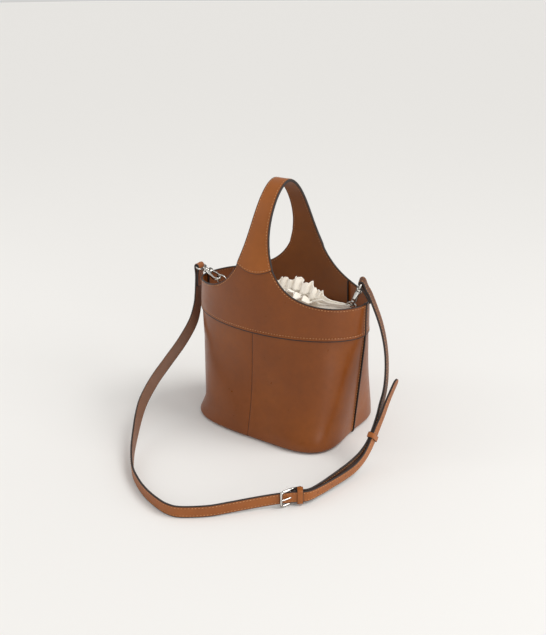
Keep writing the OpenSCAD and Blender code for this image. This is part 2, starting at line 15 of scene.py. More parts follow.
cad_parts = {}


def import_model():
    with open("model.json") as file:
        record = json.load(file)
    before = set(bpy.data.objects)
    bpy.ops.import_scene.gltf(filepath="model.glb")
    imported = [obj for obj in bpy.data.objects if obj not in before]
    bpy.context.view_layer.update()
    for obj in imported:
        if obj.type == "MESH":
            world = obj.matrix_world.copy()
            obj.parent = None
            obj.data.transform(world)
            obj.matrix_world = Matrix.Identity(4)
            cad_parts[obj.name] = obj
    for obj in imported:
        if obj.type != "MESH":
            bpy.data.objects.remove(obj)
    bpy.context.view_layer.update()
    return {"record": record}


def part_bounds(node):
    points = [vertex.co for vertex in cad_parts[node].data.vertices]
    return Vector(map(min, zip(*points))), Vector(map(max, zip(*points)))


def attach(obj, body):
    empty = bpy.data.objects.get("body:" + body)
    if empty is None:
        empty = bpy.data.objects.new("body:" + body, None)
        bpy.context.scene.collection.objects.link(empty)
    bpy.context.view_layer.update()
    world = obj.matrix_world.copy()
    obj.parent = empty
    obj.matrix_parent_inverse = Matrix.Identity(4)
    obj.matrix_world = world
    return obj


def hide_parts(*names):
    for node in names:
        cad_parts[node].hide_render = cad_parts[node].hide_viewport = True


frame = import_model()
MM = 0.001
FACES = ("front", "back")          # indexed by the flag `back`
SIDES = {-1: "left", 1: "right"}   # keyed by the sign of x


def part_box(part):
    """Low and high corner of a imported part, in mm."""
    low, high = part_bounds(part)
    return np.array(low) * 1000, np.array(high) * 1000


# ---------------------------------------------------------------- driving sizes (mm)
BODY_LEATHER = 1.2            # body panel thickness, and how far the yoke stands out over it
HANDLE_LIFT = 2.5             # outer handle leather above the shell surface
yoke_low, yoke_high = part_box("front_yoke")
TOP_HALF_X = (yoke_high[0] - yoke_low[0]) / 2 - BODY_LEATHER
YOKE_Z = yoke_low[2]          # lower edge of the yokes
ARCH_Z = part_box("handle_outer")[1][2] - HANDLE_LIFT
BASE_HALF_X, BASE_HALF_Y, TOP_HALF_Y = 118.0, 91.0, 71.6
RIM_END_Z = {side: part_box(f"side_edge_{SIDES[side]}")[1][2] for side in SIDES}
RING_Z = float(frame["record"]["behaviour"]["joints"][0]["pos_m"][2]) * 1000
SHOULDER_Z = 190.0            # the shell curves in towards the handle above this
ARCH_POWER = 1.8              # superellipse power of the arch seen from the side
GRIP_HALF_X, ROOT_FLARE = 11.6, 16.1   # handle half width, and what its root adds
ROOT_Z, FLARE_Z = 241, 32     # where the handle root starts to narrow, and over what height
TONGUE_Z = 262.0              # top of the yoke tongues under the handle
CORNER_R = 6.0                # rounding from wall to base
FOOT_LEAN = 4.6               # sideways drift of the body at its foot
FAR = 9.0                     # cap of the edge distance kept in the attribute "ed"


# ---------------------------------------------------------------- small maths
def unit(v):
    v = np.asarray(v, float)
    return v / np.maximum(np.linalg.norm(v, axis=-1, keepdims=True), 1e-12)


def clamp01(v):
    return np.clip(v, 0, 1)


def signed_power(v, power):
    return np.sign(v) * np.abs(v) ** power


def circle(count):
    """Cosines and sines of evenly spaced angles round a full turn."""
    angle = np.linspace(0, 2 * math.pi, count, endpoint=False)
    return np.cos(angle), np.sin(angle)


def arc(centre_x, centre_y, radius, start, stop, count):
    """Points of a plane arc, angles in degrees."""
    angle = np.radians(np.linspace(start, stop, count))
    return np.stack([centre_x + radius * np.cos(angle), centre_y + radius * np.sin(angle)], -1)


def round_rect(half_x, half_y, radius):
    """Plane rounded rectangle: its points and their outward directions."""
    points, outward = [], []
    for sign_x, sign_y, start in ((1, 1, 0), (-1, 1, 90), (-1, -1, 180), (1, -1, 270)):
        turn = arc(0, 0, 1.0, start, start + 90, 7)
        corner = np.array([sign_x * (half_x - radius), sign_y * (half_y - radius)])
        points.append(corner + radius * turn)
        outward.append(turn)
    return np.concatenate(points), np.concatenate(outward)


def distances(path):
    """Distance along a path to each of its points."""
    return np.r_[0, np.cumsum(np.linalg.norm(np.diff(path, axis=0), axis=1))]


def interp_columns(at, known, table):
    return np.stack([np.interp(at, known, column) for column in np.asarray(table, float).T], 1)


def resample(path, step, extra=None):
    """Evenly spaced points along a path, with `extra` columns carried along if given."""
    path = np.asarray(path, float)
    known = distances(path)
    at = np.linspace(0, known[-1], max(2, int(known[-1] / step) + 1))
    points = interp_columns(at, known, path)
    if extra is None:
        return points
    return points, interp_columns(at, known, extra)


def resample_closed(path, step):
    return resample(np.concatenate([path, path[:1]]), step)[:-1]


def spline(stations, steps=10):
    """Catmull-Rom curve through the stations."""
    p = np.asarray(stations, float)
    last = len(p) - 1
    out = []
    for i in range(last):
        a, b, c, d = p[max(i - 1, 0)], p[i], p[i + 1], p[min(i + 2, last)]
        for s in range(steps):
            u = s / steps
            out.append(0.5 * (2 * b + (c - a) * u + (2 * a - 5 * b + 4 * c - d) * u * u
                              + (3 * b - a - 3 * c + d) * u ** 3))
    out.append(p[-1])
    return np.array(out)


def smooth_noise(points, scale, seed):
    """Soft repeatable undulation, about -1 to 1."""
    random = np.random.default_rng(100 + seed)
    out = np.zeros(points.shape[:-1])
    for _ in range(7):
        direction = unit(random.normal(size=3))
        frequency = (0.6 + 1.1 * random.random()) / scale
        out += np.sin(points @ direction * frequency * 2 * math.pi + random.random() * 6.28)
    return out / 3.2


def mirror(back, side=1):
    """Factors that carry a point of the front right to another quarter of the bag."""
    return np.array([side, -1 if back else 1, 1.0])


# ---------------------------------------------------------------- the shell of the bag
def half_depth(z):
    z = np.asarray(z, float)
    below = TOP_HALF_Y + (BASE_HALF_Y - TOP_HALF_Y) * np.power(
        1 - np.clip(z, 0, SHOULDER_Z) / SHOULDER_Z, 1.4)
    climb = np.clip((z - SHOULDER_Z) / (ARCH_Z - SHOULDER_Z), 0, 1)
    above = TOP_HALF_Y * np.power(np.maximum(0, 1 - np.power(climb, ARCH_POWER)), 1 / ARCH_POWER)
    return np.where(z <= SHOULDER_Z, below, above)


def half_width(z):
    level = clamp01(np.asarray(z, float) / YOKE_Z)
    return TOP_HALF_X - (TOP_HALF_X - BASE_HALF_X) * np.power(1 - level, 1.15)


def squareness(z):
    """Superellipse power of the level section: boxy at the foot, an ellipse at the yoke."""
    z = np.asarray(z, float)
    return 2 + 1.9 * np.power(1 - clamp01(z / YOKE_Z), 1.2) - 0.06 * clamp01((z - YOKE_Z) / 46)


def shell(angle, z, inset=0.0):
    """Point of the front half, angle from -90 (left seam) to 90 (right seam) degrees."""
    sine = np.sin(np.radians(angle))
    power = squareness(z)
    y = -(half_depth(z) - inset) * np.power(
        np.maximum(0, 1 - np.power(np.abs(sine), power)), 1 / power)
    return np.stack(np.broadcast_arrays((half_width(z) - inset) * sine, y, z), -1)


def shell_normal(angle, z):
    angle, z = np.broadcast_arrays(np.asarray(angle, float), np.asarray(z, float))
    point = shell(angle, z)
    power = squareness(z)
    a, b = half_width(z), half_depth(z)
    normal_x = np.sign(point[..., 0]) * np.power(np.abs(point[..., 0]) / a, power - 1) / a
    normal_y = -np.power(np.abs(point[..., 1]) / b, power - 1) / b
    level = np.stack([-normal_y, normal_x, 0 * normal_x], -1)
    clear = np.clip(angle, -86, 86)       # the slope is taken clear of the side seam
    slope = shell(clear, z + 0.4) - shell(clear, np.maximum(z - 0.4, 0))
    return unit(np.cross(level, slope))


def shell_loop(z, inset, count=160):
    """Full level section of the shell."""
    return super_loop(float(half_width(z)) - inset, float(half_depth(z)) - inset,
                      float(squareness(z)), z, count)


def super_loop(half_x, half_y, power, z, count=96):
    cos, sin = circle(count)
    radius = (np.abs(cos / half_x) ** power + np.abs(sin / half_y) ** power) ** (-1 / power)
    return np.stack([radius * cos, radius * sin, np.full_like(cos, z)], -1)


def settle(points):
    """Lets the lower body drift sideways and bulge softly."""
    points = np.array(points, float)
    x, y, z = (points[..., i].copy() for i in range(3))
    points[..., 0] += FOOT_LEAN * clamp01(1 - z / 165.0) ** 1.1
    bearing = np.degrees(np.arctan2(x, -y))       # 0 at the front, 90 at the right
    outer = clamp01(np.hypot(x, y) / 70.0) ** 2
    foot = np.exp(-(np.maximum(z, 0) / 45.0) ** 2)
    # bearing, spread, shift in x, shift in y, strength by height
    bulges = (
        (48, 26, 2.5, -3.0, foot),
        (-72, 24, -4.2, 0.0, np.exp(-(np.maximum(z, 0) / 15.0) ** 2)),
        (-54, 30, 6.0, 2.6, np.interp(z, [0, 10, 24, 60, 110, 155],
                                      [0.35, 0.9, 1.5, 1.3, 1, 0])),
        (38, 20, 2.0, -2.4, np.exp(-((z - 13) / 15.0) ** 2)),
        (90, 22, -5.0, 0.0, np.interp(z, [0, 140], [1, 0])),
        (-5, 25, -2.5, -2.0, foot),
    )
    for centre, spread, shift_x, shift_y, strength in bulges:
        amount = np.exp(-((bearing - centre) / spread) ** 2) * strength * outer
        points[..., 0] += shift_x * amount
        points[..., 1] += shift_y * amount
    return points


def rim(x):
    """Height of the opening edge between the side seam and the handle root."""
    from_middle = np.abs(x)
    end_z = np.where(np.asarray(x) < 0, RIM_END_Z[-1], RIM_END_Z[1])
    return (193 + 47.5 * np.exp(-(from_middle - GRIP_HALF_X - ROOT_FLARE) / 27)
            + (end_z - 193.9) * clamp01((from_middle - 106) / 25) ** 2)


def grip(z):
    """Half width of the handle."""
    above = np.maximum(0, np.asarray(z, float) - ROOT_Z) / FLARE_Z
    return GRIP_HALF_X + ROOT_FLARE * np.exp(-np.power(above, 1.2))


def top_edge(x):
    """Upper edge of a yoke: the rim, and in the middle a tongue that follows the handle."""
    from_middle = np.abs(x)
    flare = np.log(ROOT_FLARE / np.maximum(from_middle - GRIP_HALF_X, 1e-6))
    flank = ROOT_Z + FLARE_Z * np.power(np.maximum(0, flare), 1 / 1.2)
    tongue = np.where(from_middle < GRIP_HALF_X + 0.4, TONGUE_Z, np.minimum(TONGUE_Z, flank))
    return np.where(from_middle < GRIP_HALF_X + ROOT_FLARE, tongue, rim(x))


# ---------------------------------------------------------------- materials
class Shader:
    """A node material with one Principled shader. A socket given as a value is linked."""

    def __init__(self, name, values=None):
        self.material = bpy.data.materials.new(name)
        self.material.use_nodes = True
        self.tree = self.material.node_tree
        self.tree.nodes.clear()
        output = self.add("OutputMaterial")
        self.bsdf = self.add("BsdfPrincipled", values)
        self.fill(output, {"Surface": self.bsdf.outputs["BSDF"]})

    def fill(self, node, values):
        for key, value in values.items():
            if isinstance(value, bpy.types.NodeSocket):
                self.tree.links.new(value, node.inputs[key])
            else:
                node.inputs[key].default_value = value

    def add(self, kind, values=None, **settings):
        node = self.tree.nodes.new("ShaderNode" + kind)
        for key, setting in settings.items():
            setattr(node, key, setting)
        self.fill(node, values or {})
        return node

    def coords(self):
        return self.add("TexCoord").outputs["Object"]

    def noise(self, coords, scale, detail, roughness=0.5):
        return self.add("TexNoise", {"Vector": coords, "Scale": scale, "Detail": detail,
                                     "Roughness": roughness}).outputs["Fac"]

    def ramp(self, source, *stops):
        """Colour ramp of (position, colour) stops."""
        node = self.add("ValToRGB", {"Fac": source})
        elements = node.color_ramp.elements
        elements[0].position, elements[0].color = stops[0]
        elements[1].position, elements[1].color = stops[-1]
        for position, color in stops[1:-1]:
            elements.new(position).color = color
        return node.outputs["Color"]

    def multiply(self, first, second):
        return self.add("MixRGB", {"Fac": 1.0, "Color1": first, "Color2": second},
                        blend_type="MULTIPLY").outputs["Color"]

    def math(self, operation, *operands):
        return self.add("Math", dict(enumerate(operands)), operation=operation).outputs[0]

    def remap(self, source, from_range, to_range, interpolation="LINEAR"):
        return self.add("MapRange", {
            "Value": source, "From Min": from_range[0], "From Max": from_range[1],
            "To Min": to_range[0], "To Max": to_range[1],
        }, interpolation_type=interpolation).outputs["Result"]

    def bump(self, height, strength, distance, under=None):
        values = {"Strength": strength, "Distance": distance, "Height": height}
        if under is not None:
            values["Normal"] = under
        return self.add("Bump", values).outputs["Normal"]

    def finish(self, **sockets):
        """Sets the Principled inputs, underscores standing for spaces, and ends the material."""
        self.fill(self.bsdf, {key.replace("_", " "): value for key, value in sockets.items()})
        return self.material


def srgb(red, green, blue):
    def linear(level):
        level = level / 255
        return level / 12.92 if level <= 0.04045 else ((level + 0.055) / 1.055) ** 2.4
    return (linear(red), linear(green), linear(blue), 1.0)


def gray(level):
    return (level, level, level, 1)


def leather(name, base, dark, light, rough, spec=0.38):
    grain = 1500.0            # cells per metre
    shader = Shader(name)
    coords = shader.coords()
    broad = shader.noise(coords, scale=14.0, detail=4.0, roughness=0.55)
    middle = shader.noise(coords, scale=130.0, detail=5.0, roughness=0.6)
    cells = shader.add("TexVoronoi", {"Vector": coords, "Scale": grain, "Randomness": 1.0})
    fine = shader.noise(coords, scale=grain * 1.7, detail=3.0, roughness=0.6)
    tone = shader.ramp(broad, (0.30, srgb(*dark)), (0.52, srgb(*base)), (0.74, srgb(*light)))
    mottle = shader.ramp(middle, (0.3, gray(0.94)), (0.7, (1.04, 1.03, 1.02, 1)))
    color = shader.multiply(tone, mottle)
    # darker towards a cut edge
    edge = shader.add("Attribute", attribute_name="ed").outputs["Fac"]
    rub = shader.ramp(shader.math("MULTIPLY", edge, 0.2), (0.0, (0.42, 0.40, 0.38, 1)),
                      (0.10, (0.80, 0.78, 0.76, 1)), (0.30, gray(1)))
    color = shader.multiply(color, rub)
    # pressed line where the thread sits, 2.4 mm in from the edge
    from_line = shader.math("ABSOLUTE", shader.math("SUBTRACT", edge, 2.4))
    groove = shader.remap(from_line, (0.0, 0.9), (-1.0, 0.0), "SMOOTHSTEP")
    gloss = shader.remap(middle, (0.25, 0.75), (rough - 0.07, rough + 0.09))
    cell_height = shader.math("MULTIPLY", cells.outputs["Distance"], 0.7)
    height = shader.math("MULTIPLY_ADD", fine, 0.4, cell_height)
    normal = shader.bump(height, strength=0.12, distance=0.00016)
    normal = shader.bump(middle, strength=0.10, distance=0.0010, under=normal)
    normal = shader.bump(groove, strength=0.55, distance=0.0004, under=normal)
    shader.material.diffuse_color = srgb(*base)
    return shader.finish(Base_Color=color, Roughness=gloss, Normal=normal,
                         Specular_IOR_Level=spec, Sheen_Weight=0.0, Sheen_Roughness=0.5,
                         Coat_Weight=0.0, Coat_Roughness=0.35)


def paint(name, rgb, rough):
    color = srgb(*rgb)[:3]
    shader = Shader(name, {"Specular IOR Level": 0.5})
    speckle = shader.noise(shader.coords(), scale=420.0, detail=4.0)
    tone = shader.ramp(speckle, (0.35, tuple(0.75 * v for v in color) + (1,)),
                       (0.65, tuple(min(1, 1.3 * v) for v in color) + (1,)))
    gloss = shader.remap(speckle, (0.3, 0.7), (rough - 0.08, rough + 0.1))
    normal = shader.bump(speckle, strength=0.25, distance=0.0003)
    return shader.finish(Base_Color=tone, Roughness=gloss, Normal=normal)


def cloth(name, light, dark):
    """Plain woven cloth with a faint painted glow: an emission that lifts it out of its shade and
    stands for light through it.
    """
    shader = Shader(name, {
        "Roughness": 0.88, "Specular IOR Level": 0.2, "Sheen Weight": 0.25,
        "Sheen Roughness": 0.6, "Emission Color": (1.0, 0.93, 0.83, 1),
        "Emission Strength": 0.07})
    coords = shader.coords()
    threads = [shader.add("TexWave", {"Vector": coords, "Scale": 738.0935121,
                                      "Distortion": 0.6, "Detail": 1.0},
                          wave_type="BANDS", bands_direction=axis).outputs["Fac"]
               for axis in "XZ"]
    blotch = shader.noise(coords, scale=60.0, detail=5.0)
    weave = shader.math("MAXIMUM", *threads)
    tone = shader.ramp(blotch, (0.25, srgb(*dark)), (0.7, srgb(*light)))
    shade = shader.ramp(weave, (0.2, (0.84, 0.83, 0.81, 1)), (0.8, (1.03, 1.03, 1.02, 1)))
    color = shader.multiply(tone, shade)
    normal = shader.bump(weave, strength=0.4, distance=0.0002)
    normal = shader.bump(blotch, strength=0.3, distance=0.001, under=normal)
    return shader.finish(Base_Color=color, Normal=normal)


def metal(name, color, rough):
    """Polished metal with a painted reflection: its colour darkens in a band as the surface turns
    away.
    """
    shader = Shader(name, {"Metallic": 1.0})
    coords = shader.coords()
    smear = shader.noise(coords, scale=260.0, detail=5.0)
    fine = shader.noise(coords, scale=1800.0, detail=2.0)
    tone = shader.ramp(smear, (0.3, tuple(0.88 * v for v in color) + (1,)),
                       (0.7, color + (1,)))
    # painted reflection: the colour goes dark, then light again, with the angle to the view
    facing_away = shader.add("LayerWeight", {"Blend": 0.5}).outputs["Facing"]
    band = shader.ramp(facing_away, (0.0, gray(1)), (0.28, (0.82, 0.81, 0.80, 1)),
                       (0.42, (0.22, 0.205, 0.19, 1)), (0.62, (0.16, 0.145, 0.135, 1)),
                       (0.80, (0.62, 0.60, 0.57, 1)), (1.0, (0.35, 0.33, 0.31, 1)))
    tone_with_painted_reflection = shader.multiply(tone, band)
    gloss = shader.remap(smear, (0.3, 0.7), (rough - 0.05, rough + 0.09))
    normal = shader.bump(fine, strength=0.06, distance=0.0002)
    return shader.finish(Base_Color=tone_with_painted_reflection, Roughness=gloss, Normal=normal)


TAN = leather("leather_tan", base=(124, 63, 10), dark=(116, 58, 8), light=(133, 70, 13),
              rough=0.33)
HANDLE = leather("leather_handle", base=(151, 83, 21), dark=(142, 76, 17),
                 light=(160, 89, 26), rough=0.38)
STRAP = leather("leather_strap", base=(152, 86, 34), dark=(140, 77, 28),
                light=(163, 95, 41), rough=0.42)
# darker copy of the strap leather: painted shade for the short strap's outer face
STRAP_PAINTED_SHADE = leather("leather_strap_painted_shade", base=(96, 56, 30), dark=(86, 49, 26),
                      light=(106, 63, 35), rough=0.46)
STRAP_BACK = leather("leather_strap_back", base=(126, 92, 74), dark=(116, 84, 66),
                     light=(136, 100, 80), rough=0.55)
INNER = leather("leather_inner", base=(114, 62, 18), dark=(104, 55, 14),
                light=(124, 69, 23), rough=0.5, spec=0.35)
EDGE = paint("edge_paint", (34, 20, 14), rough=0.5)
THREAD = paint("thread", (192, 138, 90), rough=0.6)
THREAD_DARK = paint("thread_dark", (150, 104, 68), rough=0.6)
COTTON = cloth("cotton", light=(252, 247, 238), dark=(245, 238, 226))
BOARD = paint("board", (190, 182, 168), rough=0.8)
NICKEL = metal("nickel", (0.83, 0.81, 0.77), rough=0.16)
# dark paint for the punched holes: painted shade inside them
HOLE_PAINTED_SHADE = paint("hole_painted_shade", (24, 15, 10), rough=0.8)


# ---------------------------------------------------------------- mesh helpers
def make(name, verts, faces, mats, index=None, edge=None, body="bag", slot=None,
         replaces=None, recalc=True):
    """One smooth mesh object from points in mm. `edge` fills the attribute "ed"."""
    mesh = bpy.data.meshes.new(name)
    mesh.from_pydata((np.asarray(verts, float) * MM).tolist(), [], faces)
    for material in mats:
        mesh.materials.append(material)
    if index is not None:
        mesh.polygons.foreach_set("material_index", np.asarray(index, np.int32))
    mesh.polygons.foreach_set("use_smooth", [True] * len(mesh.polygons))
    if edge is not None:
        attribute = mesh.attributes.new("ed", "FLOAT", "POINT")
        attribute.data.foreach_set("value", np.asarray(edge, np.float32))
    mesh.update()
    if recalc:
        work = bmesh.new()
        work.from_mesh(mesh)
        bmesh.ops.recalc_face_normals(work, faces=work.faces)
        work.to_mesh(mesh)
        work.free()
    thing = bpy.data.objects.new(name, mesh)
    bpy.context.scene.collection.objects.link(thing)
    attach(thing, body)
    if replaces:
        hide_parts(replaces)


def grid_normals(grid, toward):
    """Normals of a grid of points, each turned to the side `toward` points to."""
    normal = unit(np.cross(np.gradient(grid, axis=1), np.gradient(grid, axis=0)))
    sign = np.sign((normal * toward).sum(-1, keepdims=True))
    sign[sign == 0] = 1
    return normal * sign


def sheet(name, outer, normals, thickness, mats, edge, **about):
    """Leather sheet with a rounded edge all round.

    `outer` is a grid of points; the thickness goes against the normals. The three
    materials are for the outer face, the inner face and the edge.
    """
    arc_steps = 5
    rows, cols = outer.shape[:2]
    count = rows * cols

    def at(i, j):
        return i * cols + j

    faces = [(at(i, j), at(i, j + 1), at(i + 1, j + 1), at(i + 1, j))
             for i in range(rows - 1) for j in range(cols - 1)]
    index = [0] * len(faces) + [1] * len(faces)
    faces += [(count + a, count + d, count + c, count + b) for a, b, c, d in faces]

    border = [(0, j) for j in range(cols)] + [(i, cols - 1) for i in range(1, rows)]
    border += [(rows - 1, j) for j in range(cols - 2, -1, -1)]
    border += [(i, 0) for i in range(rows - 2, 0, -1)]
    rounding = []
    for i, j in border:
        next_i = i + (1 if i == 0 else -1 if i == rows - 1 else 0)
        next_j = j + (1 if j == 0 else -1 if j == cols - 1 else 0)
        normal = normals[i, j]
        out = outer[i, j] - outer[next_i, next_j]
        out = out - (out @ normal) * normal
        out = out / max(np.linalg.norm(out), 1e-9)
        middle = outer[i, j] - normal * thickness / 2
        for k in range(1, arc_steps):
            angle = math.pi / 2 - math.pi * k / arc_steps
            rounding.append(middle + normal * (thickness / 2) * math.sin(angle)
                            + out * (thickness / 2) * math.cos(angle))

    inside = arc_steps - 1

    def chain(q):
        """Vertices over the edge at border place q, from the outer to the inner face."""
        q %= len(border)
        first = 2 * count + q * inside
        corner = at(*border[q])
        return [corner, *range(first, first + inside), count + corner]

    for q in range(len(border)):
        here, there = chain(q), chain(q + 1)
        for k in range(arc_steps):
            faces.append((here[k], here[k + 1], there[k + 1], there[k]))
            index.append(2)
    verts = np.concatenate([outer.reshape(-1, 3),
                            (outer - normals * thickness).reshape(-1, 3), rounding])
    edge = np.asarray(edge, float).reshape(-1)
    edge = np.concatenate([edge, edge, np.zeros(len(rounding))])
    make(name, verts, faces, mats, index, edge, **about)


def loft(name, loops, mats, closed=False, index_of=None, edge=None, **about):
    """Skin over a row of loops. An open row is capped at both ends."""
    loops = np.asarray(loops, float)
    count, n = loops.shape[:2]
    faces, index = [], []
    for i in range(count if closed else count - 1):
        following = (i + 1) % count
        for j in range(n):
            k = (j + 1) % n
            faces.append((i * n + j, i * n + k, following * n + k, following * n + j))
            index.append(0 if index_of is None else index_of[j])
    if not closed:
        faces += [tuple(range(n)), tuple((count - 1) * n + j for j in range(n))]
        index += [2 if len(mats) > 2 else 0] * 2
    if edge is not None:
        edge = np.tile(np.broadcast_to(np.asarray(edge, float), n), count)
    make(name, loops.reshape(-1, 3), faces, mats, index, edge, **about)


def tube(name, path, radius, mats, closed=False, sides=14, up=(0, 0, 1), **about):
    path = np.asarray(path, float)
    if closed:
        along = unit(np.roll(path, -1, 0) - np.roll(path, 1, 0))
    else:
        along = unit(np.gradient(path, axis=0))
    first = np.array(up, float)
    if abs(first @ along[0]) > 0.9:
        first = np.array([1.0, 0.2, 0])
    radius = np.broadcast_to(np.asarray(radius, float), (len(path),))
    cos, sin = circle(sides)
    loops = []
    for i in range(len(path)):
        first = unit(first - (first @ along[i]) * along[i])
        second = np.cross(along[i], first)
        loops.append(path[i] + radius[i] * (cos[:, None] * first + sin[:, None] * second))
    loft(name, loops, mats, closed=closed, **about)


def stitches(name, path, normals, body="bag", pitch=4.1, length=2.3, radius=0.42,
             material=THREAD, slot="tan_leather"):
    """A row of sewn thread: each stitch a small slanted capsule lying in the leather."""
    sink, slant, slant_jitter = 0.12, 0.10, 0.06
    sides, stations = 6, (-0.92, -0.55, 0.0, 0.55, 0.92)
    points, normals = resample(path, pitch, normals)
    normals = unit(normals)
    along = unit(np.gradient(points, axis=0))
    across = np.cross(normals, along)

    capsule = [(-length / 2, 0, -0.1)]
    for station in stations:
        swell = math.sqrt(max(0, 1 - abs(station) ** 2.6)) * radius
        for j in range(sides):
            turn = 2 * math.pi * j / sides
            capsule.append((station * length / 2, swell * math.cos(turn),
                            swell * math.sin(turn)))
    capsule = np.array(capsule + [(length / 2, 0, -0.1)])
    pattern = [(0, 1 + (j + 1) % sides, 1 + j) for j in range(sides)]
    for k in range(len(stations) - 1):
        a = 1 + k * sides
        for j in range(sides):
            b = (j + 1) % sides
            pattern.append((a + j, a + b, a + sides + b, a + sides + j))
    end = 1 + len(stations) * sides
    pattern += [(end, end - sides + j, end - sides + (j + 1) % sides) for j in range(sides)]

    verts, faces = [], []
    random = np.random.default_rng(len(points))
    for i in range(len(points)):
        angle = slant + slant_jitter * (random.random() - 0.5)
        lie = along[i] * math.cos(angle) + across[i] * math.sin(angle)
        aside = np.cross(normals[i], lie)
        centre = points[i] + normals[i] * (radius * 0.55 - sink)
        verts.append(centre + capsule[:, :1] * lie + capsule[:, 1:2] * aside
                     + capsule[:, 2:3] * normals[i])
        offset = i * len(capsule)
        faces += [tuple(offset + q for q in face) for face in pattern]
    make(name, np.concatenate(verts), faces, [material], body=body, slot=slot, recalc=False)


# ---------------------------------------------------------------- body panels
# distance of the first columns from the side seam, measured in y
SEAM_COLUMNS = np.array([1.0, 1.4, 2.0, 2.9, 4.2, 6.0, 8.5, 12.0, 16.0, 21.0, 27.0, 33.0])


def panel(right, back):
    """A quarter of the lower body, from under the base up to behind the yoke."""
    share = np.sort(np.r_[np.linspace(0, 1, 44)[1:-1], 0.983, 0.99, 0.995, 1.0])
    turn = np.radians(np.linspace(8, 90, 9))
    wall = np.r_[np.linspace(8.5, 146, 40), 148, 150, 152.5, 155, 158]
    level = np.r_[0.35, 0.35, 0.4, CORNER_R + 0.4 - CORNER_R * np.cos(turn), wall]
    inset = np.r_[14.0, 10.0, 7.5, CORNER_R - CORNER_R * np.sin(turn), 0 * wall]
    power = squareness(level)[:, None]
    depth = (half_depth(level) - inset)[:, None]
    near = -np.degrees(np.arcsin(np.power(1 - np.power(SEAM_COLUMNS / depth, power), 1 / power)))
    far = near[:, -1:] + (-0.13 - near[:, -1:]) * share
    angle = np.concatenate([near, far], 1)
    z = np.repeat(level[:, None], angle.shape[1], 1)
    points = shell(angle, z, inset[:, None])
    normals = shell_normal(angle, z)
    # seam roll at the centre
    roll = 0.75 * np.exp(-(np.abs(points[..., 0]) / 1.3) ** 2)
    points = points - normals * roll[..., None]
    points = points - normals * 0.1
    flip = mirror(back, -1 if right else 1)
    points, normals = points * flip, normals * flip
    # a soft uneven hang of the leather
    hang = clamp01((points[..., 2] - 3) / 25) * clamp01((150 - points[..., 2]) / 25)
    points = points + normals * (0.9 * smooth_noise(points, 120.0, 3) * hang)[..., None]
    points = settle(points)
    outward = normals.copy()
    outward[inset > 0.01] += np.array([0, 0, -1.3])
    edge = np.full(angle.shape, FAR)
    edge[:, :len(SEAM_COLUMNS)] = np.minimum(FAR, SEAM_COLUMNS - 1.0)
    edge = np.where(z < 12, FAR, edge)
    name = f"{FACES[back]}_panel_{'right' if right else 'left'}"
    sheet(name + "_leather", points, grid_normals(points, outward), BODY_LEATHER,
          [TAN, INNER, EDGE], edge, slot="tan_leather", replaces=name)


for back in (False, True):
    for right in (False, True):
        panel(right, back)


# ---------------------------------------------------------------- yokes and facings
HEM_STITCH = 3.5              # yoke seam above the yoke's lower edge
FACING_ANGLE = 34.0           # the facings reach this far to each side
FACING_Z = 164                # lower edge of the facings


def yoke(back):
    angle = np.sort(np.r_[np.linspace(-89.25, -22, 30), np.linspace(-20.5, 20.5, 61),
                          np.linspace(22, 89.25, 30), -88.9, -88.3, -87.6, 88.9, 88.3, 87.6])
    top = top_edge(TOP_HALF_X * np.sin(np.radians(angle)))
    rows = [np.full_like(angle, YOKE_Z) + up
            for up in (0, 0.5, 1.1, 1.8, 2.5, 3.0, 3.5, 4.0, 4.6, 5.6, 7.4, 9.6)]
    rows += [(YOKE_Z + 10) + (top - YOKE_Z - 10) * share for share in np.linspace(0.08, 0.93, 16)]
    rows += [top - down for down in (3.6, 2.9, 2.4, 1.9, 1.3, 0.7, 0.25)]
    z = np.sort(np.array(rows), axis=0)
    angle = np.broadcast_to(angle, z.shape)
    points, normals = shell(angle, z), shell_normal(angle, z)
    # lapped lower edge, pressed in where it is sewn
    up = z - YOKE_Z
    relief = (0.30 * np.exp(-((up - 1.6) / 1.1) ** 2)
              - 0.28 * np.exp(-((up - HEM_STITCH) / 0.7) ** 2)
              - 0.10 * np.exp(-(up / 0.8) ** 2))
    fade = clamp01((89.3 - np.abs(angle)) / 3)
    points = points + normals * (BODY_LEATHER + relief * (0.35 + 0.65 * fade))[..., None]
    points, normals = points * mirror(back), normals * mirror(back)
    hang = (clamp01((points[..., 2] - YOKE_Z - 8) / 25) * clamp01((236 - points[..., 2]) / 25)
            * clamp01((88 - np.abs(angle)) / 12))
    points = points + normals * (0.7 * smooth_noise(points, 130.0, 5 + back) * hang)[..., None]
    points = settle(points)
    from_seam = np.where(np.abs(angle) > 55, np.abs(np.abs(points[..., 1]) - 1.4), FAR)
    edge = np.minimum(from_seam, np.minimum(FAR, (top - z) * 0.93))
    edge = np.where(top > 258, FAR, edge)
    name = FACES[back] + "_yoke"
    sheet(name + "_leather", points, grid_normals(points, normals), 1.15,
          [TAN, TAN, EDGE], np.maximum(edge, 0), slot="tan_leather", replaces=name)


def facing_end(side, back):
    """Painted upright end of a facing."""
    top = float(rim(side * TOP_HALF_X * math.sin(math.radians(FACING_ANGLE)))) - 1.5
    z = np.linspace(FACING_Z, top, 24)
    angle = np.full_like(z, FACING_ANGLE)
    points = (shell(angle, z) - shell_normal(angle, z) * 2.0) * mirror(back, side)
    tube(f"facing_end_{FACES[back]}_{SIDES[side]}", settle(points), 0.75, [EDGE], sides=10,
         slot="edge_paint")


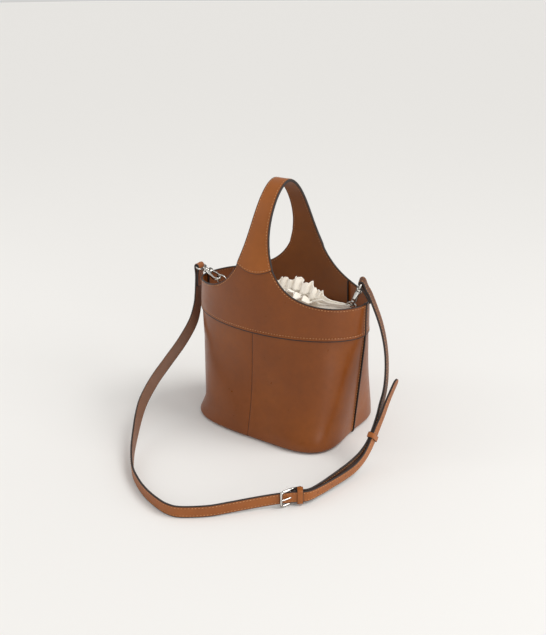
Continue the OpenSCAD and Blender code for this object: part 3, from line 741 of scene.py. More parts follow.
def facing(back):
    """Leather inside the yoke, under the handle root."""
    angle = np.r_[np.linspace(-FACING_ANGLE, -22, 14), np.linspace(-20.5, 20.5, 61),
                  np.linspace(22, FACING_ANGLE, 14)]
    top = top_edge(TOP_HALF_X * np.sin(np.radians(angle)))
    rows = [FACING_Z + (top - FACING_Z) * share for share in np.linspace(0, 0.96, 22)]
    z = np.sort(np.array(rows + [top - 1.4, top - 0.6, top - 0.1]), axis=0)
    angle = np.broadcast_to(angle, z.shape)
    normals = shell_normal(angle, z)
    points = settle((shell(angle, z) - normals * 1.15) * mirror(back))
    from_end = np.minimum((angle + FACING_ANGLE) * 2.2, (FACING_ANGLE - angle) * 2.2)
    edge = np.minimum(np.minimum(FAR, (top - z) * 0.93), from_end)
    edge = np.where(top > 258, FAR, edge)
    name = FACES[back] + "_facing"
    sheet(name + "_leather", points, -grid_normals(points, normals * mirror(back)), 1.05,
          [INNER, TAN, EDGE], np.maximum(edge, 0), slot="inner_leather", replaces=name)


for back in (False, True):
    yoke(back)
for side in (-1, 1):
    for back in (False, True):
        facing_end(side, back)
for back in (False, True):
    facing(back)


# ---------------------------------------------------------------- handle
def arch_line(angle):
    """Middle line (y, z) of the arch, from 0 degrees at the front to 180 at the back."""
    cos, sin = np.cos(np.radians(angle)), np.sin(np.radians(angle))
    return np.stack([-TOP_HALF_Y * signed_power(cos, 2 / ARCH_POWER),
                     SHOULDER_Z + (ARCH_Z - SHOULDER_Z)
                     * np.maximum(sin, 0) ** (2 / ARCH_POWER)], -1)


def arch_angle(z):
    """Angle at which the front of the arch reaches a height."""
    climb = (z - SHOULDER_Z) / (ARCH_Z - SHOULDER_Z)
    return np.degrees(np.arcsin(np.clip(climb ** (ARCH_POWER / 2), 0, 1)))


def arch_normal(angle, x):
    """Outward normal, tipped sideways away from the middle."""
    along = unit(arch_line(angle + 0.4) - arch_line(angle - 0.4))
    return unit(np.stack([x / TOP_HALF_X * 0.45, -along[..., 1], along[..., 0]], -1))


def arch_point(angle, x, lift):
    line, normal = arch_line(angle), arch_normal(angle, 0 * angle)
    y = line[..., 0] * np.sqrt(np.maximum(0, 1 - (x / TOP_HALF_X) ** 2)) + lift * normal[..., 1]
    return np.stack(np.broadcast_arrays(x, y, line[..., 1] + lift * normal[..., 2]), -1)


def arch_sheet(name, lift, thickness, end_z, mats, inner=False, **about):
    """Leather along the whole arch. `end_z` is its end height in the middle and at the sides."""
    half = np.array([0.2, 0.4, 0.6, 0.75, 0.83, 0.89, 0.94, 0.975, 1.0])
    columns = np.r_[-half[::-1], 0, half]
    rows = np.sort(np.r_[np.linspace(0, 1, 110), 0.004, 0.008, 0.012, 0.988, 0.992, 0.996])
    across, share = np.meshgrid(columns, rows)
    start = arch_angle(end_z[0] + (end_z[1] - end_z[0]) * across ** 2)
    angle = start + (180 - 2 * start) * share
    width = grip(arch_line(angle)[..., 1])
    x = width * across
    points, normals = arch_point(angle, x, lift), arch_normal(angle, x)
    edge = np.minimum(FAR, (1 - np.abs(across)) * width)
    if not inner:
        points = points + normals * (0.35 * (1 - np.abs(across) ** 4) - 0.1)[..., None]
        edge = np.minimum(edge, np.minimum(share, 1 - share) * 330)
    points = settle(points)
    facing_out = grid_normals(points, normals)
    sheet(name, points, -facing_out if inner else facing_out, thickness, mats, edge, **about)


arch_sheet("handle_outer_leather", HANDLE_LIFT, 1.15, (233, ROOT_Z), [HANDLE, INNER, EDGE],
           slot="tan_leather", replaces="handle_outer")
arch_sheet("handle_core_layer", 1.22, 1.15, (262.3, 262.3), [EDGE, EDGE, EDGE],
           slot="edge_paint", replaces="handle_core")
arch_sheet("handle_lining_leather", -1.15, 1.05, (262.05, 262.05), [INNER, TAN, EDGE],
           inner=True, slot="inner_leather", replaces="handle_lining")


# ---------------------------------------------------------------- opening edge and threads
def edge_run(side, back):
    """Half of one opening edge, from the side seam up to the top of the arch.

    Gives points, outward normals, and 1 on the handle or 0 on the rim.
    """
    low = np.r_[np.linspace(88.9, 60, 26), np.linspace(59, 13, 40)]
    low = low[TOP_HALF_X * np.sin(np.radians(low)) >= GRIP_HALF_X + ROOT_FLARE + 0.3]
    low_z = rim(side * TOP_HALF_X * np.sin(np.radians(low)))
    high = np.r_[arch_angle(np.linspace(240.9, TONGUE_Z, 12)),
                 np.linspace(float(arch_angle(TONGUE_Z)) + 1.2, 90, 46)]
    high_x = grip(arch_line(high)[..., 1])
    points = np.concatenate([shell(low, low_z), arch_point(high, high_x, 0.0)])
    normals = np.concatenate([shell_normal(low, low_z), arch_normal(high, high_x)])
    flip = mirror(back, side)
    return points * flip, normals * flip, np.r_[0 * low, 0 * high + 1]


def opening_edge(side):
    """Painted edge from seam to seam over the handle, with its outer and inner thread."""
    points, normals, on_handle = (
        np.concatenate([front, back[::-1][1:]])
        for front, back in zip(edge_run(side, False), edge_run(side, True)))
    extra = 1.3 * np.convolve(np.pad(on_handle, 2, mode="edge"), np.ones(5) / 5, "valid")
    out = unit(np.cross(normals, unit(np.gradient(points, axis=0))))
    if out[len(out) // 2][0] * side < 0:
        out = -out
    inner, outer = -1.18, 1.28 + extra       # faces of the edge, along the normal
    middle, half = (inner + outer) / 2, (outer - inner) / 2
    bead = np.where((np.abs(points[:, 0]) > 106) & (side < 0), 0.34, 0.62)

    def place(along_normal, outward):
        return points + normals * along_normal[:, None] + out * outward[:, None]

    section = []
    for turn in np.radians(np.linspace(-90, 90, 9)):
        section.append(place(middle + half * signed_power(math.sin(turn), 0.8),
                             bead * math.cos(turn) ** 0.8 - 0.22))
    for sign in (1, -1):
        section.append(place(middle + sign * half * 0.9, 0 * bead - 0.9))
    name = "rim_edge_" + SIDES[side]
    loft(name, settle(np.stack(section, 1)), [EDGE], slot="edge_paint")
    seam = settle(points - out * 2.6)
    lift = (1.22 + extra + 0.12)[:, None]
    stitches(name + "_thread", (seam + normals * lift)[2:-2], normals[2:-2])
    stitches(name + "_thread_in", (seam - normals * 1.22)[14:-14], -normals[14:-14],
             material=THREAD_DARK)


def handle_root_thread(back):
    across = np.linspace(-0.9, 0.9, 40)
    z = 233 + 8 * across ** 2 + 2.4
    angle = arch_angle(z)
    points = settle(arch_point(angle, grip(z) * across, 2.72) * mirror(back))
    stitches("handle_root_thread_" + FACES[back], points,
             arch_normal(angle, 0 * angle) * mirror(back))


def hem_line(reach, count, z, lift, back):
    """Level line on a yoke: settled points and normals."""
    angle = np.linspace(-reach, reach, count)
    level = np.full_like(angle, z)
    normals = shell_normal(angle, level)
    points = shell(angle, level) + normals * lift
    return settle(points * mirror(back)), normals * mirror(back)


for side in (1, -1):
    opening_edge(side)
for back in (False, True):
    handle_root_thread(back)
for back in (False, True):
    stitches("yoke_thread_" + FACES[back], *hem_line(87.5, 260, YOKE_Z + HEM_STITCH, 1.0, back))
for back in (False, True):
    # painted lower edge of the lapped yoke, made thick and set low so that it also gives the
    # painted shadow under the hem
    tube("yoke_edge_and_shadow_" + FACES[back], hem_line(88.6, 240, YOKE_Z - 0.45, 0.75, back)[0], 0.80,
         [EDGE], sides=10, slot="edge_paint")


# ---------------------------------------------------------------- side seams
def side_seam(side):
    """Painted piping up the side, with a thread in front of it and one behind."""
    end = RIM_END_Z[side]
    levels = np.r_[1.0, 1.6, 3, 5, 8, np.linspace(12, end - 4, 40), end - 2.2, end - 1.2,
                   end - 0.2 if side < 0 else end + 0.7]
    turn = np.radians(np.linspace(-90, 90, 9))
    loops = []
    for i, z in enumerate(levels):
        inset = 0
        if z < CORNER_R:
            inset = CORNER_R - math.sqrt(max(0, CORNER_R ** 2 - (CORNER_R - z) ** 2))
        x = float(half_width(z)) - inset
        scale = 0.75 if i in (0, len(levels) - 1) else 1.0
        section_x = np.r_[x - 2.6, x + 1.15 + 0.75 * np.cos(turn) * scale, x - 2.6]
        section_y = scale * np.r_[-0.8, 0.98 * signed_power(np.sin(turn), 0.85), 0.8]
        loops.append(np.stack([side * section_x, section_y, np.full(11, z)], -1))
    name = "side_edge_" + SIDES[side]
    loft(name + "_piping", settle(loops), [EDGE], slot="edge_paint", replaces=name)

    from_seam = 3.6
    z = np.linspace(9, end - 5, 120)
    power = squareness(z)
    x = half_width(z) * np.power(
        np.maximum(0, 1 - np.power(from_seam / half_depth(z), power)), 1 / power)
    lift = np.where(z > YOKE_Z + 1, 1.3, 0.0) + 0.05
    for back, sign in ((False, -1), (True, 1)):
        points = np.stack([side * (x + lift), sign * np.full_like(z, from_seam), z], -1)
        stitches(f"{name}_thread_{FACES[back]}", settle(points),
                 np.tile([side * 1.0, 0, 0], (len(z), 1)))


for side in (1, -1):
    side_seam(side)


# ---------------------------------------------------------------- base and lining
def plate(name, half_x, half_y, bottom, top, radius, mats, **about):
    loops = []
    for level, sign in ((bottom + radius, -1), (top - radius, 1)):
        for turn in np.radians(np.linspace(0, 90, 5)):
            sin, cos = math.sin(turn), math.cos(turn)
            grow, rise = (sin, cos) if sign < 0 else (cos, sin)
            loops.append(super_loop(half_x - radius + radius * grow,
                                    half_y - radius + radius * grow, 3.6,
                                    level + sign * radius * rise))
    loft(name, settle(loops), mats, **about)


plate("base_panel_leather", 112.5, 85.5, 0.0, 2.0, 0.6, [TAN], edge=FAR, slot="tan_leather",
      replaces="base_panel")
plate("base_board_panel", 108.5, 81.5, 2.4, 4.4, 0.5, [BOARD], slot="board",
      replaces="base_board")


def lining():
    """Cotton bag inside: up its outer face, then down its inner face."""
    wall = np.linspace(30, 158, 22)
    # z, inset from the shell
    profile = [(6.2, 30), (6.0, 16), (6.2, 9), (8, 5), (12, 3.2), (20, 2.6)]
    profile += [(z, 2.4) for z in wall] + [(z, 3.1) for z in wall[::-1]]
    profile += [(20, 3.4), (12, 4.2), (8.4, 6.4), (7.0, 10), (6.8, 17), (7.0, 31)]
    loops = []
    for z, inset in profile:
        loop = shell_loop(z, inset)
        strength = 0.35 * clamp01((z - 15) / 40) * (1 if inset < 5 else 0)
        ripple = strength * np.sin(np.arctan2(loop[:, 1], loop[:, 0]) * 21 + z * 0.05)
        loops.append(loop - unit(loop * np.array([1, 1, 0])) * np.abs(ripple)[:, None])
    loft("lining_cloth", settle(loops), [COTTON], slot="cream_fabric", replaces="lining")


lining()

# ---------------------------------------------------------------- drawstring collar
NECK_X = (-48.0, 108.0)       # ends of the gathered slit
NECK_HALF_Y = 5.5


def collar():
    """Cotton collar drawn in from the lining to a gathered neck, with a hem above it."""
    count = 720
    theta = np.linspace(0, 2 * math.pi, count, endpoint=False)
    phase = np.random.default_rng(11).random(8) * 6.28
    middle_x = (NECK_X[0] + NECK_X[1]) / 2
    # the slit in plan, how tightly it is gathered, and its heights
    neck_x = middle_x + (NECK_X[1] - NECK_X[0]) / 2 * np.cos(theta)
    sine = np.sin(theta)
    gather = clamp01((72 - neck_x) / 18) * clamp01((neck_x - NECK_X[0] + 6) / 22)
    drift_y = np.interp(neck_x, [-48, 0, 30, 60, 80, 95, 108],
                        [3, 3.5, 2.5, -3.5, -8.5, -4, 0])
    hem_z = np.interp(neck_x, [-48, -30, -15, 0, 14, 30, 50, 62, 75, 90, 108],
                      [188, 193, 197.5, 201, 203.5, 201.5, 196.5, 194, 192, 190, 188.5])
    neck_z = hem_z - 13 * (0.35 + 0.65 * gather)
    # folds of three lengths along the slit
    run = np.cumsum(np.hypot(np.gradient(neck_x), np.gradient(7 * sine)))
    fold = np.sin(run * 2 * math.pi / 12.8 + 1.1 * np.sin(run * 0.11 + phase[0]) + phase[1])
    crimp = np.sin(run * 2 * math.pi / 7.0 + 1.4 * np.sin(run * 0.17 + phase[2]) + phase[3])
    swell = np.sin(run * 2 * math.pi / 23.0 + phase[4])
    wave = 0.72 * fold + 0.26 * crimp + 0.28 * swell
    narrow = 0.8 + 0.2 * gather
    front = np.clip(-sine, 0, 1) ** 0.5

    skirt = shell_loop(158, 3.0, count)
    skirt[:, 2] = np.interp(skirt[:, 0], [-130, 60, 128], [159.5, 160, 168.5])
    neck = np.stack([neck_x, NECK_HALF_Y * sine * narrow + drift_y, neck_z], -1)
    loops = []
    for rise in np.linspace(0, 1, 30):          # from the lining in to the neck
        ease = rise ** 0.9
        loop = skirt * (1 - ease) + neck * ease
        amount = (0.4 + 4.2 * rise ** 2.2) * (0.12 + 0.88 * gather)
        loop[:, 0] += 0.25 * amount * crimp
        loop[:, 1] += amount * 0.55 * wave
        loop[:, 2] -= 5.5 * np.sin(math.pi * rise) * (0.5 + 0.5 * gather)
        loop[:, 2] += amount * 0.55 * wave
        loops.append(loop)
    for rise in np.linspace(1.04, 2, 20) - 1:   # from the neck up to the hem
        half_y = NECK_HALF_Y + (1.5 + 8.5 * gather) * rise ** 0.8
        x = neck_x + 1.5 * rise * gather * np.sin(run * 2 * math.pi / 12.5 + phase[6])
        y = half_y * sine * narrow + drift_y + (3.0 + 2.2 * rise) * gather * wave
        y -= 9.5 * gather * rise * front
        z = neck_z + (hem_z - neck_z) * (1 - (1 - rise) ** 1.3)
        z += (1.0 + 2.6 * rise) * gather * (0.6 * swell + 0.3 * crimp) + 0.25 * rise * gather
        z -= 5.0 * gather * rise ** 1.5 * front
        loops.append(np.stack([x, y, z], -1))
    outer = np.array(loops)
    normals = unit(np.cross(np.roll(outer, -1, 1) - np.roll(outer, 1, 1),
                            np.gradient(outer, axis=0)))
    if (normals[3] * (outer[3] - np.array([middle_x, 0, 150]))).sum() < 0:
        normals = -normals
    outer, inner = settle(outer), settle(outer - normals * 0.42)
    fold_over = outer[-1] * 0.5 + inner[-1] * 0.5 + np.array([0, 0, 0.32])
    loft("drawstring_collar_cloth", np.concatenate([outer, fold_over[None], inner[::-1]]),
         [COTTON], closed=True, slot="cream_fabric", replaces="drawstring_collar")
    tube("drawstring_collar_hem", settle(loops[-1][::4]),
         0.95 + 0.12 * np.sin(np.arange(count // 4) * 1.3), [COTTON], closed=True, sides=10,
         slot="cream_fabric")
    cord_line = np.stack([24.0 + 71.0 * np.cos(theta), (8.6 + 1.5 * gather) * sine + drift_y,
                          neck_z + 1.4 + 0.6 * swell], -1)
    cord(cord_line[::6], np.degrees(theta[::6]))


def cord(line, bearing):
    """Cord laid round the neck, both ends drawn out at the front left and knotted."""
    exit_at, gap = 250, 7
    laid = ~(np.abs(bearing - exit_at) < gap)
    line = np.concatenate([line[laid & (bearing > exit_at)], line[laid & (bearing < exit_at)]])
    first = [line[0] + np.array([0.4 * i, -1.7 * i, -1.1 * i - 0.10 * i * i])
             for i in range(7, 0, -1)]
    second = [line[-1] + np.array([-0.9 * i, -1.5 * i, -1.3 * i - 0.08 * i * i])
              for i in range(1, 7)]
    path = resample(np.concatenate([first, line, second]), 1.0)
    tube("drawstring_cord_twist", settle(path),
         1.15 + 0.10 * np.sin(np.arange(len(path)) * 1.9), [COTTON], sides=10,
         slot="cream_fabric", replaces="drawstring_cord")
    cos, sin = circle(14)
    for i, (x, y, z) in enumerate((first[0], second[-1])):
        loops = []
        for q in np.linspace(-1, 1, 9):
            radius = 2.3 * math.sqrt(max(0.02, 1 - q * q)) * (1 + 0.1 * math.sin(q * 9))
            loops.append(np.stack([x + radius * cos, y + radius * sin,
                                   z + 2.4 * q + 0 * cos], -1))
        loft(f"cord_knot_{i}", settle(loops), [COTTON], slot="cream_fabric")


collar()

# ---------------------------------------------------------------- hardware frames
RING_HALF, RING_LEG = 8.5, 5.0       # D ring: half width, and height where its bow starts
EYE_NEAR, EYE_FAR = 24.4, 31.8       # strap eye along the clasp: bar at the post, far bar
EYE_HALF_Y = 9.4
PIVOT = (13.0, 4.3)                  # gate pin in the clasp's own x, y
RING_SEAT = (-2.6, -1.0, 0.0)        # where the ring's wire lies in the clasp's frame
RING_LEAN = {-1: 14.0, 1: 4.0}       # degrees about X
CLASP_TILT = {-1: 23.0, 1: 69.0}     # degrees above the horizon
RING_X = {}
for side in SIDES:
    low, high = part_box("d_ring_" + SIDES[side])
    RING_X[side] = (low[0] + high[0]) / 2
RIGHT_HANG = unit([0.38, 0.30, -0.87])   # direction of the strap from the right eye


def move(*offset):
    return Matrix.Translation(Vector(offset))


def turned(axis, degrees):
    return Matrix.Rotation(math.radians(degrees), 4, axis)


def to_array(matrix):
    return np.array([list(row) for row in matrix])


def ring_frame(side):
    return to_array(move(0, 0, RING_Z) @ turned("X", RING_LEAN[side])
                    @ move(RING_X[side], 0, 0))


def clasp_frame(side):
    """Frame of a clasp: x runs from the ring to the strap eye."""
    swing = CLASP_TILT[-1] - 180 if side < 0 else -CLASP_TILT[1]
    return to_array(move(0, 0, RING_Z) @ turned("X", RING_LEAN[side])
                    @ move(RING_X[side], 0, RING_LEG) @ turned("Y", swing)
                    @ move(RING_HALF, 0, 0) @ move(*(-c for c in RING_SEAT)))


def eye_ways(side):
    """Direction of the eye bar, strap direction there and the strap's outward normal."""
    axis = clasp_frame(side)[:3, 0]
    if side < 0:
        bar = unit(np.cross(axis, [0, 0, 1]))
        hang = unit(np.cross(unit([-1, 0, 0.05]), bar))
        return bar, hang, unit(np.cross(hang, -bar))
    bar = unit(np.cross(axis, RIGHT_HANG))
    return bar, RIGHT_HANG, unit(np.cross(RIGHT_HANG, bar))


def eye_frame(side):
    """The clasp's frame turned about its x so that y lies along the eye bar."""
    matrix = clasp_frame(side)
    matrix[:3, 1] = eye_ways(side)[0]
    matrix[:3, 2] = np.cross(matrix[:3, 0], matrix[:3, 1])
    return matrix


def transform(matrix, points):
    return np.asarray(points, float) @ matrix[:3, :3].T + matrix[:3, 3]


# ---------------------------------------------------------------- D rings and their tabs
def d_ring(side):
    bend = 1.2
    foot = RING_HALF - bend
    outline = np.concatenate([
        [(x, 0) for x in np.linspace(-foot, foot, 14)],
        arc(foot, bend, bend, -90, 0, 6)[1:],
        [(RING_HALF, RING_LEG * 0.6)],
        arc(0, RING_LEG, RING_HALF, 0, 180, 28),
        [(-RING_HALF, RING_LEG * 0.6)],
        arc(-foot, bend, bend, 180, 270, 6)[:-1],
    ])
    points = np.insert(outline, 1, 0, axis=1)
    name = "d_ring_" + SIDES[side]
    tube(name + "_wire", transform(ring_frame(side), points), 1.25, [NICKEL], closed=True,
         sides=18, up=(0, 1, 0), body="ring_" + SIDES[side], slot="nickel", replaces=name)


def ring_tab(side):
    """Leather tab folded round the ring's straight bar, with a foot out to the side wall."""
    name = "ring_tab_" + SIDES[side]
    centre = abs(RING_X[side])
    profile = [*arc(0, 0, 2.85, -62, 242, 27),
               (-1.35, -13.6), (-0.9, -14), (0.9, -14), (1.35, -13.6)]
    loops = [[(side * (centre + x), y * scale, RING_Z + z * (scale if z > -3 else 1))
              for y, z in profile]
             for x, scale in ((-5.0, 0.9), (-4.8, 0.97), (-4.4, 1.0),
                              (4.4, 1.0), (4.8, 0.97), (5.0, 0.9))]
    loft(name + "_leather", loops, [TAN], edge=FAR, slot="tan_leather", replaces=name)

    cos, sin = circle(20)
    wall = float(half_width(165)) - 1.4
    loops = [np.stack([np.full(20, side * x), 1.3 * signed_power(cos, 0.5),
                       RING_Z - 15.4 + 3.5 * signed_power(sin, 0.4)], -1)
             for x in np.linspace(centre - 5, wall, 9)]
    loft(name + "_foot", loops, [TAN], edge=FAR, slot="tan_leather")

    for sign, tag in ((-1, "a"), (1, "b")):
        path = resample([(side * (centre + x), sign * 1.32, RING_Z - down)
                         for x, down in ((-3.4, 4.5), (-3.4, 12.5), (3.4, 12.5), (3.4, 4.5))],
                        0.5)
        stitches(f"{name}_thread_{tag}", path, np.tile([0, sign, 0.0], (len(path), 1)),
                 pitch=2.4, length=1.8, radius=0.26)


# ---------------------------------------------------------------- clasps
def revolve(name, profile, matrix, **about):
    """Turned part; the profile is (x, radius) along the frame's x."""
    cos, sin = circle(28)
    loops = [transform(matrix, np.stack([np.full(28, x), r * cos, r * sin], -1))
             for x, r in profile]
    loft(name, loops, [NICKEL], slot="nickel", **about)


def claw(name, matrix, **about):
    """Flattened hook that swells from the barrel and rounds the ring."""
    # x, y, half width in the plane, half thickness
    shank = [(15.6, -0.2, 3.8, 3.0), (14.0, -1.0, 3.7, 3.0), (12.0, -2.4, 3.2, 2.95),
             (9.5, -3.9, 2.45, 2.8), (6.5, -5.1, 2.0, 2.7)]
    share = np.linspace(0, 1, 20)
    bend = np.c_[arc(0.2, 0, 6.25, -58, -202, 20), 1.75 - 0.3 * share, 2.6 - 0.5 * share]
    tip = [(-4.6, 3.4, 1.25, 1.9), (-3.9, 4.1, 0.9, 1.5)]
    table = np.concatenate([shank, bend, tip])
    step = 0.55
    points, size = resample(np.c_[table[:, :2], np.zeros(len(table))], step, table[:, 2:])
    flat = np.array([0, 0, 1.0])
    across = np.cross(unit(np.gradient(points, axis=0)), flat)
    cos, sin = (signed_power(v, 0.75)[:, None] for v in circle(20))
    loops = []
    for i in range(len(points)):
        left = (len(points) - 1 - i) * step
        taper = min(1.0, math.sqrt(max(0.05, 1 - max(0, 1.6 - left) ** 2 / 2.8)))
        loops.append(transform(matrix, points[i] + size[i, 0] * taper * cos * across[i]
                               + size[i, 1] * taper * sin * flat))
    loft(name, loops, [NICKEL], slot="nickel", **about)


def cheek(name, matrix, sign, **about):
    """One of the two plates that carry the gate pin."""
    cos, sin = circle(26)
    profile = np.stack([PIVOT[0] + 2.9 * cos + np.where(cos > 0, 1.2, 0),
                        PIVOT[1] - np.where(sin < 0, 2.4, 0) + 2.6 * sin], -1)
    centre = np.array([PIVOT[0] + 0.6, PIVOT[1] - 1.2])
    loops = [transform(matrix, np.c_[centre + (profile - centre) * scale,
                                     np.full(26, sign * z)])
             for z, scale in ((1.90, 0.93), (1.95, 1.0), (2.35, 1.0), (2.55, 0.9))]
    loft(name, loops, [NICKEL], slot="nickel", **about)


def gate(name, matrix, body, replaces):
    """Lever that closes the hook, and its thumb lobe."""
    # x, y, half width
    table = np.array([(14.6, 4.6, 1.5), (13.0, 4.5, 1.9), (10.5, 4.7, 1.45), (8.0, 4.9, 1.2),
                      (5.0, 5.0, 1.0), (2.0, 5.0, 0.95), (-1.0, 5.0, 0.9), (-3.0, 5.0, 0.7)])
    points, width = resample(np.c_[table[:, :2], np.zeros(len(table))], 0.5, table[:, 2:])
    cos, sin = circle(20)
    loops = []
    for i, (x, y, _) in enumerate(points):
        taper = 1.0 if 1 < i < len(points) - 2 else 0.7
        loops.append(transform(matrix, np.stack([
            np.full(20, x), y + width[i, 0] * taper * signed_power(cos, 0.7),
            1.65 * taper * signed_power(sin, 0.6)], -1)))
    loft(name + "_lever", loops, [NICKEL], body=body, slot="nickel", replaces=replaces)
    loops = []
    for q in np.linspace(0, 1, 7):
        radius = 1.5 * math.sqrt(max(0.03, 1 - q ** 2))
        loops.append(transform(matrix, np.stack([
            4.2 + radius * 1.25 * cos, np.full(20, 5.6 + 2.2 * q), radius * sin], -1)))
    loft(name + "_thumb", loops, [NICKEL], body=body, slot="nickel")


BARREL = [(13.8, 2.2), (14.0, 3.1), (14.6, 3.7), (15.6, 3.95), (16.6, 3.7), (16.9, 3.35),
          (17.2, 3.35), (17.5, 3.75), (18.6, 3.9), (20.6, 3.75), (21.6, 3.3), (22.3, 2.6),
          (22.5, 1.7)]        # x, radius
POST = [(15.7, 1.2), (15.8, 2.2), (17.2, 2.2), (17.3, 1.5), (22.4, 1.5), (22.7, 2.0),
        (23.4, 2.1), (24.2, 1.9), (24.9, 1.2)]        # x, radius
RIVET = [(-2.85, 0.75), (-2.75, 1.05), (-2.55, 1.15), (-2.5, 0.78),
         (2.5, 0.78), (2.55, 1.15), (2.75, 1.05), (2.85, 0.75)]        # z, radius


def clasp(side):
    name = "clasp_" + SIDES[side]
    hook = "hook_" + SIDES[side]
    matrix = clasp_frame(side)
    claw(name + "_claw", matrix, body=hook, replaces=name + "_hook")
    for sign, tag in ((-1, "a"), (1, "b")):
        cheek(f"{name}_cheek_{tag}", matrix, sign, body=hook)
    revolve(name + "_barrel", BARREL, matrix, body=hook)
    cos, sin = circle(18)
    loops = [transform(matrix, np.stack([PIVOT[0] + r * cos, PIVOT[1] + r * sin,
                                         np.full(18, z)], -1)) for z, r in RIVET]
    loft(name + "_rivet", loops, [NICKEL], body=hook, slot="nickel", replaces=name + "_pin")
    turn = np.linspace(0, 14.0, 90)
    coil = np.stack([PIVOT[0] + 1.35 * np.cos(turn), PIVOT[1] + 1.35 * np.sin(turn),
                     0.85 + 0.7 * turn / 14.0], -1)
    tube(name + "_coil", transform(matrix, coil), 0.16, [NICKEL], sides=8, body=hook,
         slot="nickel", replaces=name + "_spring")
    gate(name, matrix, body="gate_" + SIDES[side], replaces=name + "_gate")
    # the strap eye turns on its post so that the strap hangs square
    matrix = eye_frame(side)
    revolve(name + "_post", POST, matrix, body="strap")
    outline = round_rect((EYE_FAR - EYE_NEAR) / 2, EYE_HALF_Y, 2.6)[0]
    outline = np.c_[outline[:, 0] + (EYE_NEAR + EYE_FAR) / 2, outline[:, 1], 0 * outline[:, 0]]
    tube(name + "_loop", transform(matrix, resample_closed(outline, 0.8)), 1.35, [NICKEL],
         closed=True, sides=16, up=tuple(matrix[:3, 2]), body="strap", slot="nickel",
         replaces=name + "_eye")


for side in SIDES:
    d_ring(side)
    ring_tab(side)
    clasp(side)

# ---------------------------------------------------------------- strap course
# Each station of a strap is x, y, z and then its outward normal.
STRAP_W, STRAP_T = 15.0, 2.6


def eye_bar(side):
    """Middle of the far bar of a strap eye."""
    reach = RING_HALF - RING_SEAT[0] + EYE_FAR
    tilt, lean = math.radians(CLASP_TILT[side]), math.radians(RING_LEAN[side])
    y, z = -RING_SEAT[1], RING_LEG + reach * math.sin(tilt)
    return np.array([RING_X[side] + side * reach * math.cos(tilt),
                     y * math.cos(lean) - z * math.sin(lean),
                     RING_Z + y * math.sin(lean) + z * math.cos(lean)])


def wrap(centre, along, out, radius, lead_in, lead_out):
    """Stations of a strap turned round a bar. Leads are (along, out) places beside it."""
    # along, out, normal along, normal out
    rows = [(a, b, 0, -1) for a, b in lead_in]
    rows += [(-radius * 0.71, -radius * 0.71, -0.7, -0.7), (-radius, 0, -1, 0),
             (-radius * 0.71, radius * 0.71, -0.7, 0.7)]
    rows += [(a, b, 0, 1) for a, b in lead_out]
    a, b, normal_a, normal_b = np.array(rows)[:, :, None].transpose(1, 0, 2)
    return np.hstack([centre + a * along + b * out, normal_a * along + normal_b * out])


def eye_wrap(side):
    _, hang, out = eye_ways(side)
    radius = 1.4 + 0.15 + STRAP_T / 2      # bar, clearance, half the strap
    return wrap(eye_bar(side), hang, out, radius,
                [(30, -1.6), (22, -1.6), (13, -1.75), (6, -2.4), (1, -radius)],
                [(1, radius), (6, 2.1), (13, 1.35), (22, 1.3)])


def shift(stations, gaps):
    """Stations moved out along their normals."""
    normals = unit(stations[:, 3:])
    return np.hstack([stations[:, :3] + np.array(gaps)[:, None] * normals, normals])


# course shared by both straps, between the buckle and the sliding keeper
SHARED = np.array([
    [147.5, -189.5, 11.4, 0.72, -0.69, 0], [156, -179.5, 11.4, 0.80, -0.60, -0.10],
    [161, -160, 11.6, 0.95, -0.30, -0.16], [164.5, -140, 12.2, 0.97, -0.18, -0.2],
    [168, -121, 13.2, 0.97, -0.16, -0.2], [171.5, -102, 15.2, 0.98, -0.12, -0.16],
    [174.2, -83.5, 19.4, 0.99, -0.06, -0.12], [175.6, -68.5, 26, 1, -0.03, -0.06],
    [176.2, -58.5, 33.5, 1, 0, 0], [176.2, -50.5, 41.5, 1, 0, 0]])
# how far the long strap lies outside that course, and the short strap inside it
LONG_GAPS = [0.55, 1.5, 2.4, 3.4, 4.2, 4.6, 3.6, 2.2, 1.5, 1.5]
SHORT_GAPS = [3.2, 1.5, 1.6, 2.2, 2.8, 3.0, 2.6, 2.0, 1.5, 1.5]
# long strap from the left eye down and across the ground in front
LEFT = [
    [-144, -7.8, 160, -1, 0.05, -0.05], [-143.4, -12.2, 142, -0.98, 0.12, -0.12],
    [-140.6, -27.1, 121, -0.9, 0.3, -0.3], [-141.1, -53.1, 98.5, -0.78, 0.45, -0.5],
    [-147, -79.4, 75.5, -0.72, 0.4, -0.6], [-147.9, -109.3, 57, -0.76, 0.2, -0.6],
    [-141.4, -140.3, 41.5, -0.8, 0.0, -0.5], [-131.5, -163, 30.5, -0.82, -0.2, -0.4],
    [-110.5, -196, 18.5, -0.8, -0.45, -0.25], [-88, -226, 11.6, -0.74, -0.62, -0.12],
    [-62, -253, 8.4, -0.62, -0.76, -0.02], [-35, -271, 7.9, -0.47, -0.88, 0],
    [-12, -282, 7.8, -0.36, -0.93, 0], [10, -289, 7.8, -0.2, -0.98, 0],
    [29, -292, 7.8, 0.06, -1, 0], [46, -288, 7.8, 0.4, -0.92, 0],
    [72, -269, 8, 0.66, -0.75, 0], [90, -249.5, 8.8, 0.74, -0.67, 0],
    [112, -225, 10.2, 0.72, -0.69, 0]]
# free end of the long strap above the sliding keeper
TIP = [
    [177.9, -43, 49.5, 1, 0.02, 0], [179.5, -36.5, 60, 0.99, 0.02, -0.05],
    [182.2, -29, 78, 0.98, 0.02, -0.1], [185.6, -22.5, 94, 0.97, 0.02, -0.16],
    [188.6, -15.5, 108, 0.97, 0.02, -0.2]]
